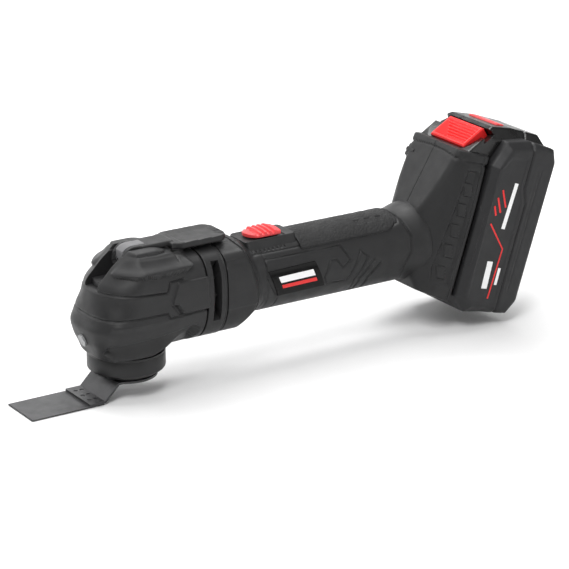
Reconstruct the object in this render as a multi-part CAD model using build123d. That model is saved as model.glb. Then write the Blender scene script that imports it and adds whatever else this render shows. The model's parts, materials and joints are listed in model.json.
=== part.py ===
from build123d import *
import os
from math import cos, radians, sin

# Cordless oscillating multi-tool with its slide-on battery pack and a plunge blade.
# Millimetres. The tool frame has its origin on the output spindle's axis at the collar's
# bottom face, +X towards the battery, +Z up. Every node is shifted at the end so that the
# exported frame's origin is the bottom centre of the whole tool's bounding box.

# ---- clearances ----
RUN = 0.05                 # radial running fit of a shaft or pin
GAP = 0.3                  # free space between pieces of different bodies
SPLIT = 0.2                # parting gap between neighbouring shells

# ---- output end ----
SWING_DEG = 1.6            # half the oscillation angle
SPINDLE_R = 8.0
SPINDLE_FOOT_R = 8.5
SPINDLE_TOP_R = 7.5
DRAW_BAR_R = 4.0
CLAMP_TRAVEL = 3.0         # how far the draw bar drops when the lever opens
FLANGE_R = 14.0
FLANGE_Z = -1.2            # drive face that the accessory is pulled against
LOW_BEARING = (8.5, 17.5, 7.0, 17.0)     # inner radius, outer radius, bottom, top
TOP_BEARING = (7.5, 14.0, 52.0, 59.0)
COLLAR_R = 24.7
COLLAR_H = 14.3
COLLAR_CHAMFER = (4.7, 3.2)
COLUMN_R = 20.0
COLUMN_TOP = 62.0

# ---- accessory: plunge-cut blade ----
BLADE_W = 32.0
BLADE_TIP_X = -75.5
BLADE_T = 0.8
BLADE_Z = -12.5            # top of the blade strip, underside of the shank
SHANK_T = 1.4
SHANK_STEP_X = -35.0
SHANK_BEND_X = -24.0
SHANK_R = 19.5
TEETH = 20
TOOTH_H = 1.3

# ---- head ----
HEAD_WALL = 2.5
HEAD_REAR_X = 43.6
HEAD_R = 28.5              # rear barrel radius of the head and vent ring
BARREL_Z = 43.7            # centre height of the head's barrel and the motor housing
# height, nose x, half width and corner radius of the head's plan at each level
HEAD_LEVELS = (
    (14.6, -25.5, 25.5, 23.0),
    (27.0, -30.5, 28.5, 20.0),
    (38.0, -31.5, 29.5, 19.0),
    (57.0, -28.5, 27.5, 18.0),
    (66.0, -21.0, 26.0, 17.0),
    (77.0, -8.0, 20.0, 12.0),
)
SLOT_HALF = 7.35           # half width of the slot between the two cheeks
SLOT_FLOOR_Z = 58.0

# ---- clamp lever ----
PIVOT_X = 3.5
PIVOT_Z = 72.5
HUB_R = 9.0
HUB_HALF = 7.0
LEVER_OPEN_DEG = 90.0
PLATE_HALF = 13.5
PLATE_Z = (77.5, 81.5)
PLATE_X = (8.5, 29.0)
PADDLE_HALF = 14.0
PADDLE_X = 66.0
PADDLE_Z = (76.2, 80.6)
STRIP_HALF = DRAW_BAR_R + GAP   # the open slot in the hub clears the draw bar
STRIP_IN_R = 7.8
STRIP_END_X = 12.0
STRIP_REACH = 3.2            # how far the strip runs down the hub's front, short of the draw bar's room
CAM_R = 5.5
CAM_OFFSET = CLAMP_TRAVEL / 2 / sin(radians(45))
PIN_R = 2.0
CAM_GAP = 0.15
BAR_TOP = PIVOT_Z + CAM_OFFSET * sin(radians(45)) - CAM_R - CAM_GAP
SPRING_Z = 42.0              # floor of the clamp spring's room in the spindle
SPRING_ROOM_R = 6.2
SPRING_TOP = 60.5

# ---- drive train ----
MOTOR_Z = 45.0
SHAFT_R = 2.5
CRANK_ARM = 30.0           # spindle axis to the drive bearing
ECCENTRICITY = CRANK_ARM * sin(radians(SWING_DEG))
DRIVE_BEARING_R = 8.0
FORK_SLOT = DRIVE_BEARING_R + 2 * ECCENTRICITY + 0.1
FORK_ARM_T = 4.0
FORK_CLEAR = 1.4             # room beside the fork's arms, more than their swing
CAN_R = 19.0
CAN_X = (60.0, 112.0)

# ---- motor housing and handle ----
RING_X = (43.8, 58.0)
VENT_X = (47.4, 52.9)
VENT_Z = (35.0, 62.0)
HOUSING_X = 58.2
BARREL_END_X = 81.0
HANDLE_X = 92.0
BARREL_R = 28.6
HANDLE_R = 24.0
HANDLE_Z = 46.3
HANDLE_END_X = 212.0
WALL = 2.5

# ---- slide switch ----
SWITCH_X = (87.0, 110.0)
SWITCH_TRAVEL = 6.0
SWITCH_HALF = 8.5
SWITCH_PLATE_X = (79.5, 118.0)
SWITCH_PLATE_TOP = HANDLE_Z + HANDLE_R + 0.8
LINK_X = (SWITCH_X[0] + 8.0, SWITCH_X[0] + 35.0)
LINK_Z = (64.6, 66.6)
LINK_HALF = 4.0

# ---- battery seat: a local frame with x outwards from the seat, z along the slide ----
PACK_TILT = 18.0
PACK_X = 227.7
PACK_Z = 13.4
PACK = Location((PACK_X, 0, PACK_Z), (0, PACK_TILT, 0))
FOOT_HALF = 31.0
FOOT_TOP = 98.5
SEAT_FRONT = -10.2         # front wall of the cavity that the pack's rail slides in
RAIL_FRONT = -10.0
RAIL_HALF = 27.2
RIB_X = (-7.5, -4.5)       # guide ribs of the seat
RIB_DEPTH = 3.0
PACK_HALF = 37.0
PACK_SPLIT = 31.0
PACK_SCREW_SEAT = 40.0
PACK_TRAVEL = 100.0
CELL_R = 9.1
CELL_HALF = 32.5
CELL_ROWS = (13.5, 33.5)
CELL_PITCH = 19.2
CELL_FIRST = 12.0
LATCH_TRAVEL = 3.0
LATCH_HALF = 19.8
GAUGE_TRAVEL = 1.0
DIAL_R = 6.5
DIAL_AT = (-18.0, 82.0)
DIAL_Y = (17.0, 25.0)
BLADE_PITCH_Y = 12.0       # spacing of the three pack terminals
TERMINAL_X = (-7.1, -3.6)  # depth that the terminal blades stand in


# ---- small makers ----
def block(x0, x1, y0, y1, z0, z1):
    """Box between two corners."""
    low = Location((x0, y0, z0))
    return low * Box(x1 - x0, y1 - y0, z1 - z0, align=(Align.MIN, Align.MIN, Align.MIN))


def rod_z(x, y, z0, z1, r):
    return Location((x, y, z0)) * Cylinder(r, z1 - z0, align=(Align.CENTER, Align.CENTER, Align.MIN))


def rod_x(y, z, x0, x1, r):
    up = Cylinder(r, x1 - x0, align=(Align.CENTER, Align.CENTER, Align.MIN))
    return Location((x0, y, z), (0, 90, 0)) * up


def rod_y(x, z, y0, y1, r):
    up = Cylinder(r, y1 - y0, align=(Align.CENTER, Align.CENTER, Align.MIN))
    return Location((x, y0, z), (-90, 0, 0)) * up


def slab(points, y0, y1):
    """Outline of (x, z) points, extruded along y from y0 to y1."""
    face = make_face(Polyline(*[(x, y0, z) for x, z in points], close=True))
    return extrude(face, amount=y1 - y0, dir=(0, 1, 0))


def cone_x(x0, z0, r0, x1, z1, r1):
    """Straight transition between two circles that stand across the X axis."""
    first = Plane(origin=(x0, 0, z0), z_dir=(1, 0, 0)) * Circle(r0)
    last = Plane(origin=(x1, 0, z1), z_dir=(1, 0, 0)) * Circle(r1)
    return loft([first, last], ruled=True)


def ring_z(z0, z1, inner, outer):
    return rod_z(0, 0, z0, z1, outer) - rod_z(0, 0, z0 - 1, z1 + 1, inner)


def ring_x(z, x0, x1, inner, outer):
    return rod_x(0, z, x0, x1, outer) - rod_x(0, z, x0 - 1, x1 + 1, inner)


def group(pieces):
    """Separate solids that share one node."""
    return Compound([solid for piece in pieces for solid in piece.solids()])


def both_sides(piece):
    return piece + mirror(piece, Plane.XZ)


# ---- head ----
def head_form(inset):
    """Nose block lofted through the head's plan levels, joined to the rear barrel."""
    sections = []
    for index, (z, nose, half, corner) in enumerate(HEAD_LEVELS):
        lift = inset if index == 0 else 0
        drop = inset if index == len(HEAD_LEVELS) - 1 else 0
        back = 42.0
        length = back - (nose + inset)
        middle = (back + nose + inset) / 2
        plan = RectangleRounded(length, 2 * (half - inset), min(corner, length / 2 - 0.2) - inset * 0.6)
        sections.append(Location((middle, 0, z + lift - drop)) * plan)
    nose_block = loft(sections, ruled=True)
    barrel = rod_x(0, BARREL_Z, 4.0, HEAD_REAR_X, HEAD_R - inset)
    return nose_block + barrel


def head_cover():
    shell = head_form(0) - head_form(HEAD_WALL)
    shell -= rod_x(0, BARREL_Z, 30.0, HEAD_REAR_X + 1, HEAD_R - HEAD_WALL)
    shell -= rod_z(0, 0, 10, 20, COLUMN_R + SPLIT)
    shell -= block(-40, PIVOT_X + HUB_R + GAP, -SLOT_HALF, SLOT_HALF, SLOT_FLOOR_Z, 90)
    shell -= gear_case_bracket(0.1)
    shell -= led_bore(4.1)
    shell -= block(PLATE_X[1] - 2.5, 60, -40, 40, 72.4, 90)
    return max(shell.solids(), key=lambda s: s.volume)


def led_place():
    """Lens axis leaves the nose forwards and 20 degrees down."""
    return Location((-24.5, 0, 27.5), (0, -110, 0))


def led_bore(r):
    return led_place() * Cylinder(r, 12.0, align=(Align.CENTER, Align.CENTER, Align.MIN))


def led_lens():
    return led_place() * Cylinder(4.0, 7.2, align=(Align.CENTER, Align.CENTER, Align.MIN))


def led_board():
    return led_place() * Location((0, 0, -1.6)) * Box(9, 9, 1.5, align=(Align.CENTER, Align.CENTER, Align.MIN))


def gear_case_bracket(grow):
    side = block(
        PIVOT_X - 7.0 - grow, PIVOT_X + 7.0 + grow,
        SLOT_HALF + 0.05 - grow, 10.6 + grow, COLUMN_TOP - 4, 76.0 + grow,
    )
    return both_sides(side)


def gear_case():
    """Cast case: bearing column for the spindle, barrel for the crank, lever bracket."""
    case = rod_z(0, 0, 2.2, COLUMN_TOP, COLUMN_R)
    case += rod_x(0, MOTOR_Z, 14.0, RING_X[0] - 0.1, 24.4)
    case += gear_case_bracket(0)
    case -= rod_z(0, 0, 0, LOW_BEARING[3], LOW_BEARING[1])
    case -= rod_z(0, 0, 10, TOP_BEARING[2] - 1, 15.5)
    case -= rod_z(0, 0, TOP_BEARING[2] - 2, TOP_BEARING[3], TOP_BEARING[1])
    case -= rod_z(0, 0, 40, 70, 9.0)
    crank_room = rod_x(0, MOTOR_Z, 17.5, 41.0, 20.5) - block(0, 24, -30, 30, 50.8, 80)
    case -= crank_room
    fork_room = FORK_SLOT + FORK_ARM_T + FORK_CLEAR
    case -= block(0, 20, -fork_room, fork_room, 33.0, 50.8)
    case -= rod_x(0, MOTOR_Z, 40, 50, 4.0)
    case -= rod_y(PIVOT_X, PIVOT_Z, -20, 20, PIN_R)
    for y, z in case_screw_places():
        case -= rod_x(y, z, 36, 50, 1.5)
    return max(case.solids(), key=lambda s: s.volume)


def case_screw_places():
    return [(22.0 * cos(radians(a)), MOTOR_Z + 22.0 * sin(radians(a))) for a in (40, 140, 220, 320)]


def nose_collar():
    out, up = COLLAR_CHAMFER
    ring = rod_z(0, 0, 0, COLLAR_H, COLLAR_R)
    taper = Location((0, 0, 0)) * Cone(COLLAR_R - out, COLLAR_R, up, align=(Align.CENTER, Align.CENTER, Align.MIN))
    ring -= rod_z(0, 0, -1, up, COLLAR_R + 1) - taper
    ring -= rod_z(0, 0, 2.1, COLLAR_H + 1, COLUMN_R)
    ring -= rod_z(0, 0, -1, 3, FLANGE_R + 0.6)
    return ring


def vent_ring():
    ring = ring_x(BARREL_Z, RING_X[0], RING_X[1], HEAD_R - WALL, HEAD_R)
    ring -= block(VENT_X[0], VENT_X[1], -40, 40, VENT_Z[0], VENT_Z[1])
    return ring


def motor_plate():
    plate = rod_x(0, BARREL_Z, RING_X[0] + 0.05, RING_X[0] + 3.2, HEAD_R - WALL - 0.1)
    plate -= rod_x(0, MOTOR_Z, 40, 50, 7.0)
    for y, z in case_screw_places():
        plate -= rod_x(y, z, 40, 50, 1.7)
    return plate


def case_screws():
    screws = []
    seat = RING_X[0] + 3.2
    for y, z in case_screw_places():
        screws.append(rod_x(y, z, 37, seat, 1.45) + rod_x(y, z, seat, seat + 2.2, 2.8))
    return group(screws)


# ---- clamp lever ----
def clamp_lever():
    lever = rod_y(PIVOT_X, PIVOT_Z, -HUB_HALF, HUB_HALF, HUB_R)
    lever += block(PIVOT_X, PLATE_X[0] + 1, -HUB_HALF, HUB_HALF, PLATE_Z[0], PLATE_Z[1])
    lever += block(PLATE_X[0], PLATE_X[1], -PLATE_HALF, PLATE_HALF, PLATE_Z[0], PLATE_Z[1])
    round_x = PADDLE_X - PADDLE_HALF
    paddle = block(PLATE_X[1] - 2, round_x, -PADDLE_HALF, PADDLE_HALF, PADDLE_Z[0], PADDLE_Z[1])
    paddle += rod_z(round_x, 0, PADDLE_Z[0], PADDLE_Z[1], PADDLE_HALF)
    lever += paddle
    dish_r = 60.0
    lever -= rod_x(0, PADDLE_Z[1] + dish_r - 1.4, PLATE_X[1] + 4, PADDLE_X - 4, dish_r)
    lever -= rod_y(PIVOT_X, PIVOT_Z, -STRIP_HALF, STRIP_HALF, STRIP_IN_R)
    lever -= block(PIVOT_X - 12, PIVOT_X + 5, -STRIP_HALF, STRIP_HALF, PIVOT_Z - 12, PIVOT_Z)
    lever -= block(PIVOT_X - 12, PIVOT_X - STRIP_REACH, -STRIP_HALF, STRIP_HALF, PIVOT_Z - 12, PIVOT_Z + 12)
    lever -= lever_strip_form()
    lever -= rod_y(PIVOT_X, PIVOT_Z, -20, 20, PIN_R + RUN)
    return max(lever.solids(), key=lambda s: s.volume)


def lever_strip_form():
    """Light inlay on the hub's top; it stays clear of the draw bar when the lever stands open."""
    arc = rod_y(PIVOT_X, PIVOT_Z, -STRIP_HALF, STRIP_HALF, HUB_R)
    arc -= rod_y(PIVOT_X, PIVOT_Z, -10, 10, STRIP_IN_R)
    arc -= block(PIVOT_X, PIVOT_X + 20, -10, 10, PIVOT_Z - 20, PIVOT_Z + 20)
    arc -= block(PIVOT_X - 20, PIVOT_X - STRIP_REACH, -10, 10, PIVOT_Z - 20, PIVOT_Z + 20)
    arc -= block(PIVOT_X - 20, PIVOT_X + 1, -10, 10, PIVOT_Z - 20, PIVOT_Z)
    top = block(PIVOT_X, STRIP_END_X, -STRIP_HALF, STRIP_HALF, PIVOT_Z + STRIP_IN_R, PLATE_Z[1])
    return arc + top


def cam_disc():
    x = PIVOT_X - CAM_OFFSET * cos(radians(45))
    z = PIVOT_Z + CAM_OFFSET * sin(radians(45))
    return rod_y(x, z, -4.2, 4.2, CAM_R) - rod_y(PIVOT_X, PIVOT_Z, -9, 9, PIN_R + RUN)


def lever_pin():
    return rod_y(PIVOT_X, PIVOT_Z, -10.5, 10.5, PIN_R)


# ---- spindle and accessory clamp ----
def spindle():
    low, top = LOW_BEARING, TOP_BEARING
    shaft = rod_z(0, 0, 3.5, low[3], SPINDLE_FOOT_R)
    shaft += rod_z(0, 0, low[3], top[2], SPINDLE_R)
    shaft += rod_z(0, 0, top[2], COLUMN_TOP - 1, SPINDLE_TOP_R)
    shaft -= rod_z(0, 0, 0, 70, DRAW_BAR_R + RUN)
    return shaft - rod_z(0, 0, SPRING_Z, 70, SPRING_ROOM_R)


def drive_flange():
    disc = rod_z(0, 0, FLANGE_Z, 3.5, FLANGE_R)
    for x, y in drive_pin_places():
        disc += rod_z(x, y, FLANGE_Z - 1.2, FLANGE_Z, 1.8)
    return disc - rod_z(0, 0, -5, 5, DRAW_BAR_R + RUN)


def drive_pin_places():
    return [(9.0 * cos(radians(a)), 9.0 * sin(radians(a))) for a in (45, 135, 225, 315)]


def drive_fork():
    fork = rod_z(0, 0, 37, TOP_BEARING[2] - 1.5, 12.0)
    half = FORK_SLOT + FORK_ARM_T
    fork += block(6, 14, -half, half, 40, 50)
    fork += both_sides(block(13, CRANK_ARM + 6.5, FORK_SLOT, half, 40, 50))
    return fork - rod_z(0, 0, 30, 60, SPINDLE_R)


def draw_bar():
    """Long clamp bolt: hex-socket washer head below, spring collar and button on top."""
    head_z = FLANGE_Z - SHANK_T
    bar = rod_z(0, 0, head_z - 3.2, head_z, 9.5)
    bar += rod_z(0, 0, head_z, BAR_TOP, DRAW_BAR_R)
    bar += rod_z(0, 0, SPRING_TOP, SPRING_TOP + 1.6, SPRING_ROOM_R - 0.4)
    socket = Location((0, 0, head_z - 4)) * extrude(RegularPolygon(2.9, 6), amount=3.0)
    return bar - socket


def clamp_spring():
    """Spring sleeve between the spindle's shoulder and the bar's collar."""
    return ring_z(SPRING_Z, SPRING_TOP, DRAW_BAR_R + 0.2, SPRING_ROOM_R - 0.4)


def shank_plan():
    plan = rod_z(0, 0, -20, 5, SHANK_R)
    strip = block(SHANK_STEP_X, 0, -BLADE_W / 2, BLADE_W / 2, -20, 5)
    return plan + strip


def blade_shank():
    low = BLADE_Z
    top = FLANGE_Z - SHANK_T
    rise = top - low
    lean = SHANK_T * 0.414
    outline = [
        (SHANK_STEP_X, low), (SHANK_BEND_X, low), (SHANK_BEND_X + rise, top), (SHANK_R + 1, top),
        (SHANK_R + 1, top + SHANK_T), (SHANK_BEND_X + rise - lean, top + SHANK_T),
        (SHANK_BEND_X - lean, low + SHANK_T), (SHANK_STEP_X, low + SHANK_T),
    ]
    shank = slab(outline, -30, 30) & shank_plan()
    shank -= rod_z(0, 0, -10, 5, DRAW_BAR_R)
    for x, y in drive_pin_places():
        shank -= rod_z(x, y, -10, 5, 1.8 + GAP)
    for x, y in weld_places():
        shank -= rod_z(x, y, low + SHANK_T - 0.35, low + SHANK_T + 1, 1.5)
    return shank


def weld_places():
    return [(x, y) for x in (-31.6, -27.4) for y in (-9.0, 0.0, 9.0)]


def blade_plate():
    """Thin strip with a row of cutting teeth along its front edge."""
    half = BLADE_W / 2
    pitch = BLADE_W / TEETH
    edge = []
    for n in range(TEETH):
        y = -half + n * pitch
        edge.append((BLADE_TIP_X + TOOTH_H, y))
        edge.append((BLADE_TIP_X, y + pitch / 2))
    edge.append((BLADE_TIP_X + TOOTH_H, half))
    back = SHANK_BEND_X - 1.0
    outline = edge + [(back, half), (back, -half)]
    face = make_face(Polyline(*[(x, y, BLADE_Z - BLADE_T) for x, y in outline], close=True))
    return extrude(face, amount=BLADE_T, dir=(0, 0, 1))


def ball_bearing(spec):
    """Two races with a groove and a ring of balls between them."""
    inner, outer, z0, z1 = spec
    mid = (inner + outer) / 2
    ball = min(outer - inner, z1 - z0) * 0.28
    races = ring_z(z0, z1, inner, mid - ball * 0.5) + ring_z(z0, z1, mid + ball * 0.5, outer)
    web = ring_z((z0 + z1) / 2 - 0.8, (z0 + z1) / 2 + 0.8, mid - ball, mid + ball)
    return races + web


def dust_seal():
    return ring_z(4.0, LOW_BEARING[2], SPINDLE_FOOT_R + GAP, LOW_BEARING[1])


# ---- motor ----
def motor_can():
    can = rod_x(0, MOTOR_Z, CAN_X[0], CAN_X[1], CAN_R)
    can -= rod_x(0, MOTOR_Z, CAN_X[0] + 5, CAN_X[1] + 1, CAN_R - 1.5)
    return can - rod_x(0, MOTOR_Z, CAN_X[0] - 1, CAN_X[0] + 6, 6.5)


def motor_magnets():
    ring = ring_x(MOTOR_Z, 68, 100, 13.5, CAN_R - 1.5)
    top = ring & block(60, 110, -20, 20, MOTOR_Z + 5, MOTOR_Z + 20)
    return group([top, mirror(top, Plane(origin=(0, 0, MOTOR_Z), z_dir=(0, 0, 1)))])


def motor_end_cap():
    cap = rod_x(0, MOTOR_Z, CAN_X[1], CAN_X[1] + 6, CAN_R)
    return cap - rod_x(0, MOTOR_Z, CAN_X[1] - 1, CAN_X[1] + 5, 6.5)


def motor_bearings():
    front = ring_x(MOTOR_Z, CAN_X[0] + 0.2, CAN_X[0] + 4.8, SHAFT_R + RUN, 6.5)
    rear = ring_x(MOTOR_Z, CAN_X[1] + 0.2, CAN_X[1] + 4.8, SHAFT_R + RUN, 6.5)
    return group([front, rear])


def brushes():
    top = block(101.5, 106.5, -2.5, 2.5, MOTOR_Z + 8.4, MOTOR_Z + 16)
    low = block(101.5, 106.5, -2.5, 2.5, MOTOR_Z - 16, MOTOR_Z - 8.4)
    return group([top, low])


def motor_shaft():
    return rod_x(0, MOTOR_Z, 26.5, CAN_X[1] + 4.5, SHAFT_R)


def armature():
    core = rod_x(0, MOTOR_Z, 70, 98, 12.8) + rod_x(0, MOTOR_Z, 66.5, 100.5, 9.5)
    for n in range(5):
        angle = radians(72 * n + 36)
        y, z = 12.8 * cos(angle), MOTOR_Z + 12.8 * sin(angle)
        core -= Location((69, y, z), (0, 0, 0)) * Box(30, 2.4, 2.4, align=(Align.MIN, Align.CENTER, Align.CENTER))
    return core - rod_x(0, MOTOR_Z, 60, 110, SHAFT_R)


def commutator():
    return ring_x(MOTOR_Z, 100.6, 108, SHAFT_R, 8.0)


def fan():
    wheel = rod_x(0, MOTOR_Z, 50.4, 51.9, 22.5) + rod_x(0, MOTOR_Z, 50.4, 57.0, 5.0)
    for n in range(12):
        blade = block(51.5, 56.4, 4.5, 22.0, -0.6, 0.6)
        wheel += Location((0, 0, MOTOR_Z)) * Rotation(30 * n, 0, 0) * blade
    return wheel - rod_x(0, MOTOR_Z, 40, 60, SHAFT_R)


def eccentric():
    lobe = rod_x(0, MOTOR_Z + ECCENTRICITY, CRANK_ARM - 2.8, CRANK_ARM + 2.8, 4.0)
    lobe += rod_x(0, MOTOR_Z, CRANK_ARM + 2.8, CRANK_ARM + 6.5, 7.0)
    return lobe - rod_x(0, MOTOR_Z, 20, 40, SHAFT_R)


def drive_bearing():
    z = MOTOR_Z + ECCENTRICITY
    return ring_x(z, CRANK_ARM - 2.5, CRANK_ARM + 2.5, 4.0, DRIVE_BEARING_R)


# ---- housing ----
FOOT_OUTLINE = (
    (-0.6, -5.0), (-0.6, FOOT_TOP), (-20.5, FOOT_TOP), (-28.0, 51.5),
    (-33.0, 30.0), (-27.0, 5.0), (-23.5, -1.2),
)
FOOT_HOLLOW = (
    (SEAT_FRONT - 1.8, 2.0), (SEAT_FRONT - 1.8, FOOT_TOP - WALL), (-18.2, FOOT_TOP - WALL),
    (-25.3, 51.5), (-30.0, 30.0), (-24.0, 6.0), (-20.5, 3.0),
)


def housing_form():
    form = rod_x(0, BARREL_Z, HOUSING_X, BARREL_END_X, BARREL_R)
    form += cone_x(BARREL_END_X, BARREL_Z, BARREL_R, HANDLE_X, HANDLE_Z, HANDLE_R)
    handle = rod_x(0, HANDLE_Z, HANDLE_X, HANDLE_END_X, HANDLE_R)
    form += handle - PACK * block(-0.6, 60, -60, 60, -60, 160)
    return form + PACK * slab(FOOT_OUTLINE, -FOOT_HALF, FOOT_HALF)


def housing_hollow():
    inner = rod_x(0, BARREL_Z, HOUSING_X - 1, BARREL_END_X, BARREL_R - WALL)
    inner += cone_x(BARREL_END_X, BARREL_Z, BARREL_R - WALL, HANDLE_X, HANDLE_Z, HANDLE_R - WALL)
    inner += rod_x(0, HANDLE_Z, HANDLE_X, HANDLE_END_X, HANDLE_R - WALL)
    inner -= PACK * block(SEAT_FRONT - 1.8, 60, -60, 60, -60, 160)
    inner += PACK * slab(FOOT_HOLLOW, -FOOT_HALF + WALL + 0.9, FOOT_HALF - WALL - 0.9)
    return inner


def battery_seat():
    """Open-topped cavity with a guide rib on each side wall."""
    half = RAIL_HALF + 0.4
    seat = block(SEAT_FRONT, 5, -half, half, 1.0, FOOT_TOP + 5)
    rib = block(RIB_X[0], RIB_X[1], half - RIB_DEPTH, half + 1, 10, 96)
    seat -= both_sides(rib)
    hook_way = block(SEAT_FRONT - 2.0, SEAT_FRONT + 1, -5.8, 5.8, 89.5, FOOT_TOP + 5)
    return PACK * (seat + hook_way)


def dial_room():
    x, z = DIAL_AT
    room = rod_y(x, z, DIAL_Y[0] - GAP, DIAL_Y[1] + GAP, DIAL_R + GAP)
    return PACK * room


SCREW_PLACES = ((70.0, 68.2), (70.0, 19.5), (148.0, 30.0), (156.0, 61.5), (200.0, 32.0))
SCREW_HEAD_Y = 12.0


def housing():
    shell = housing_form() - housing_hollow()
    rib = rod_x(0, HANDLE_Z, 100, 102.5, HANDLE_R - WALL + 0.5) - rod_x(0, MOTOR_Z, 99, 103, CAN_R + 0.05)
    shell += rib
    for x, z in SCREW_PLACES:
        shell += rod_y(x, z, -20, 20, 3.4) & housing_form()
    shell -= battery_seat()
    shell -= dial_room()
    for x, z in SCREW_PLACES:
        shell -= rod_y(x, z, -14, 40, 1.5)
        shell -= rod_y(x, z, SCREW_HEAD_Y, 40, 3.1)
    shell -= block(SWITCH_X[0] + 2.4, SWITCH_X[0] + 13.6, -3.3, 3.3, 60, 80)
    shell -= rod_x(0, MOTOR_Z, CAN_X[0] - 0.1, CAN_X[1] + 6.1, CAN_R + 0.02)
    slide_room_x = SWITCH_X[0] - SWITCH_TRAVEL - GAP
    shell -= block(slide_room_x, SWITCH_X[1], -SWITCH_HALF - GAP, SWITCH_HALF + GAP, SWITCH_PLATE_TOP, 90)
    link_x0, link_x1 = LINK_X
    shell -= block(
        link_x0 - SWITCH_TRAVEL - GAP, link_x1 + GAP, -LINK_HALF - GAP, LINK_HALF + GAP,
        LINK_Z[0] - GAP, LINK_Z[1] + GAP,
    )
    return shell


def housing_halves(shell):
    near = shell & block(-100, 400, -80, 0, -60, 160)
    far = shell & block(-100, 400, 0, 80, -60, 160)
    return [max(part.solids(), key=lambda s: s.volume) for part in (near, far)]


def housing_screws():
    screws = []
    for x, z in SCREW_PLACES:
        shank = rod_y(x, z, -12, SCREW_HEAD_Y, 1.45)
        head = rod_y(x, z, SCREW_HEAD_Y, SCREW_HEAD_Y + 2.4, 2.9)
        slot = block(x - 2, x + 2, SCREW_HEAD_Y + 1.4, SCREW_HEAD_Y + 3, z - 0.5, z + 0.5)
        screws.append(shank + head - slot)
    return group(screws)


def handle_skin(x0, x1, z0, z1, thickness, side):
    """Patch that wraps the handle's surface between two heights, on one side or both."""
    skin = ring_x(HANDLE_Z, x0, x1, HANDLE_R, HANDLE_R + thickness)
    y0, y1 = {"near": (-40, 0), "both": (-40, 40)}[side]
    return skin & block(x0, x1, y0, y1, z0, z1)


def grip_strip():
    return handle_skin(SWITCH_PLATE_X[1] + 1, 196, 62.5, 80, 1.0, "both")


def name_plate():
    return handle_skin(92.5, 131, 37, 54.5, 0.7, "near")


# ---- slide switch ----
def switch_plate():
    """Low bridge on the handle that the thumb button slides on."""
    top = SWITCH_PLATE_TOP
    x0, x1 = SWITCH_PLATE_X
    low = HANDLE_Z + HANDLE_R - 4.5
    form = block(x0 + 13, x1, -11, 11, low, top)
    form -= rod_x(0, HANDLE_Z, x0, x1 + 1, HANDLE_R)
    return form - block(SWITCH_X[0] + 2.4, SWITCH_X[0] + 13.6, -3.3, 3.3, 60, 80)


def slide_button():
    top = SWITCH_PLATE_TOP
    x0, x1 = SWITCH_X
    button = block(x0, x1, -SWITCH_HALF, SWITCH_HALF, top + GAP, top + 3.4)
    for n in range(4):
        x = x0 + 6 + 4.2 * n
        button += block(x, x + 1.8, -SWITCH_HALF, SWITCH_HALF, top + 3, top + 4.6)
    stem = block(x0 + 9, x0 + 13, -2.8, 2.8, LINK_Z[1], top + 1)
    return button + stem


def switch_link():
    return block(LINK_X[0], LINK_X[1], -LINK_HALF, LINK_HALF, LINK_Z[0], LINK_Z[1])


def microswitch():
    body = block(126, 146, -5, 5, 55.5, 66.5)
    return body + block(123.5, 127, -2, 2, 60, 63.5)


def control_board():
    board = block(152, 196, -17, 17, 43, 44.6)
    board += block(156, 170, -10, 10, 44.5, 52)
    board += block(176, 186, -8, 2, 44.5, 50)
    return board + block(176, 190, 4, 12, 38, 43.1)


# ---- battery seat fittings ----
def speed_pot():
    x, z = DIAL_AT
    body = block(x - 1.9, x + 5.6, 6.0, 14.0, z - 3.5, z + 2.0)
    return PACK * (body - rod_y(x, z, 9.0, 20, 1.5 + RUN))


def speed_dial():
    x, z = DIAL_AT
    wheel = rod_y(x, z, DIAL_Y[0], DIAL_Y[1], DIAL_R)
    for n in range(10):
        angle = radians(36 * n)
        wheel -= rod_y(x + (DIAL_R + 0.6) * cos(angle), z + (DIAL_R + 0.6) * sin(angle), 10, 30, 1.3)
    return PACK * (wheel + rod_y(x, z, 9.5, DIAL_Y[0], 1.5))


def terminal_block():
    body = block(SEAT_FRONT, -2.5, -20, 20, 1.0, 7.6)
    for n in (-1, 0, 1):
        y = n * BLADE_PITCH_Y
        body -= block(TERMINAL_X[0], TERMINAL_X[1], y - 0.5, y + 0.5, 3.0, 9)
    return PACK * body


def terminal_blades():
    blades = [
        block(TERMINAL_X[0], TERMINAL_X[1], n * BLADE_PITCH_Y - 0.5, n * BLADE_PITCH_Y + 0.5, 3.0, 20)
        for n in (-1, 0, 1)
    ]
    return group([PACK * blade for blade in blades])


# ---- battery pack, in its own frame ----
SIDE_OUTLINE = (
    (0, 0), (0, 88), (8.4, 108), (28, 110), (PACK_SPLIT, 109.6),
    (49.5, 105), (49.5, 7), (44, -5), (PACK_SPLIT, -6.9), (11.7, -9.2),
)
SIDE_HOLLOW = (
    (2.5, 2.0), (2.5, 87.5), (10.2, 105.6), (28, 107.4), (PACK_SPLIT, 107.0),
    (47.0, 103.0), (47.0, 8.0), (42.6, -2.6), (PACK_SPLIT, -4.4), (12.6, -6.6),
)
CENTRE_OUTLINE = (
    (RAIL_FRONT, 9), (RAIL_FRONT, FOOT_TOP + 0.7), (-20, FOOT_TOP + 0.7), (-6.9, 116),
    (-5, 117.5), (12, 117.5), (24, 111), (24, 9),
)
RAIL_HOLLOW = ((-7.5, 11.5), (-7.5, 97), (3, 97), (3, 11.5))
HEAD_HOLLOW = (
    (-17.6, 101.4), (-5.7, 114.8), (-4, 115.2), (11.4, 115.2), (22, 109), (22, 90), (-7.5, 90), (-7.5, 101.4),
)


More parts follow.
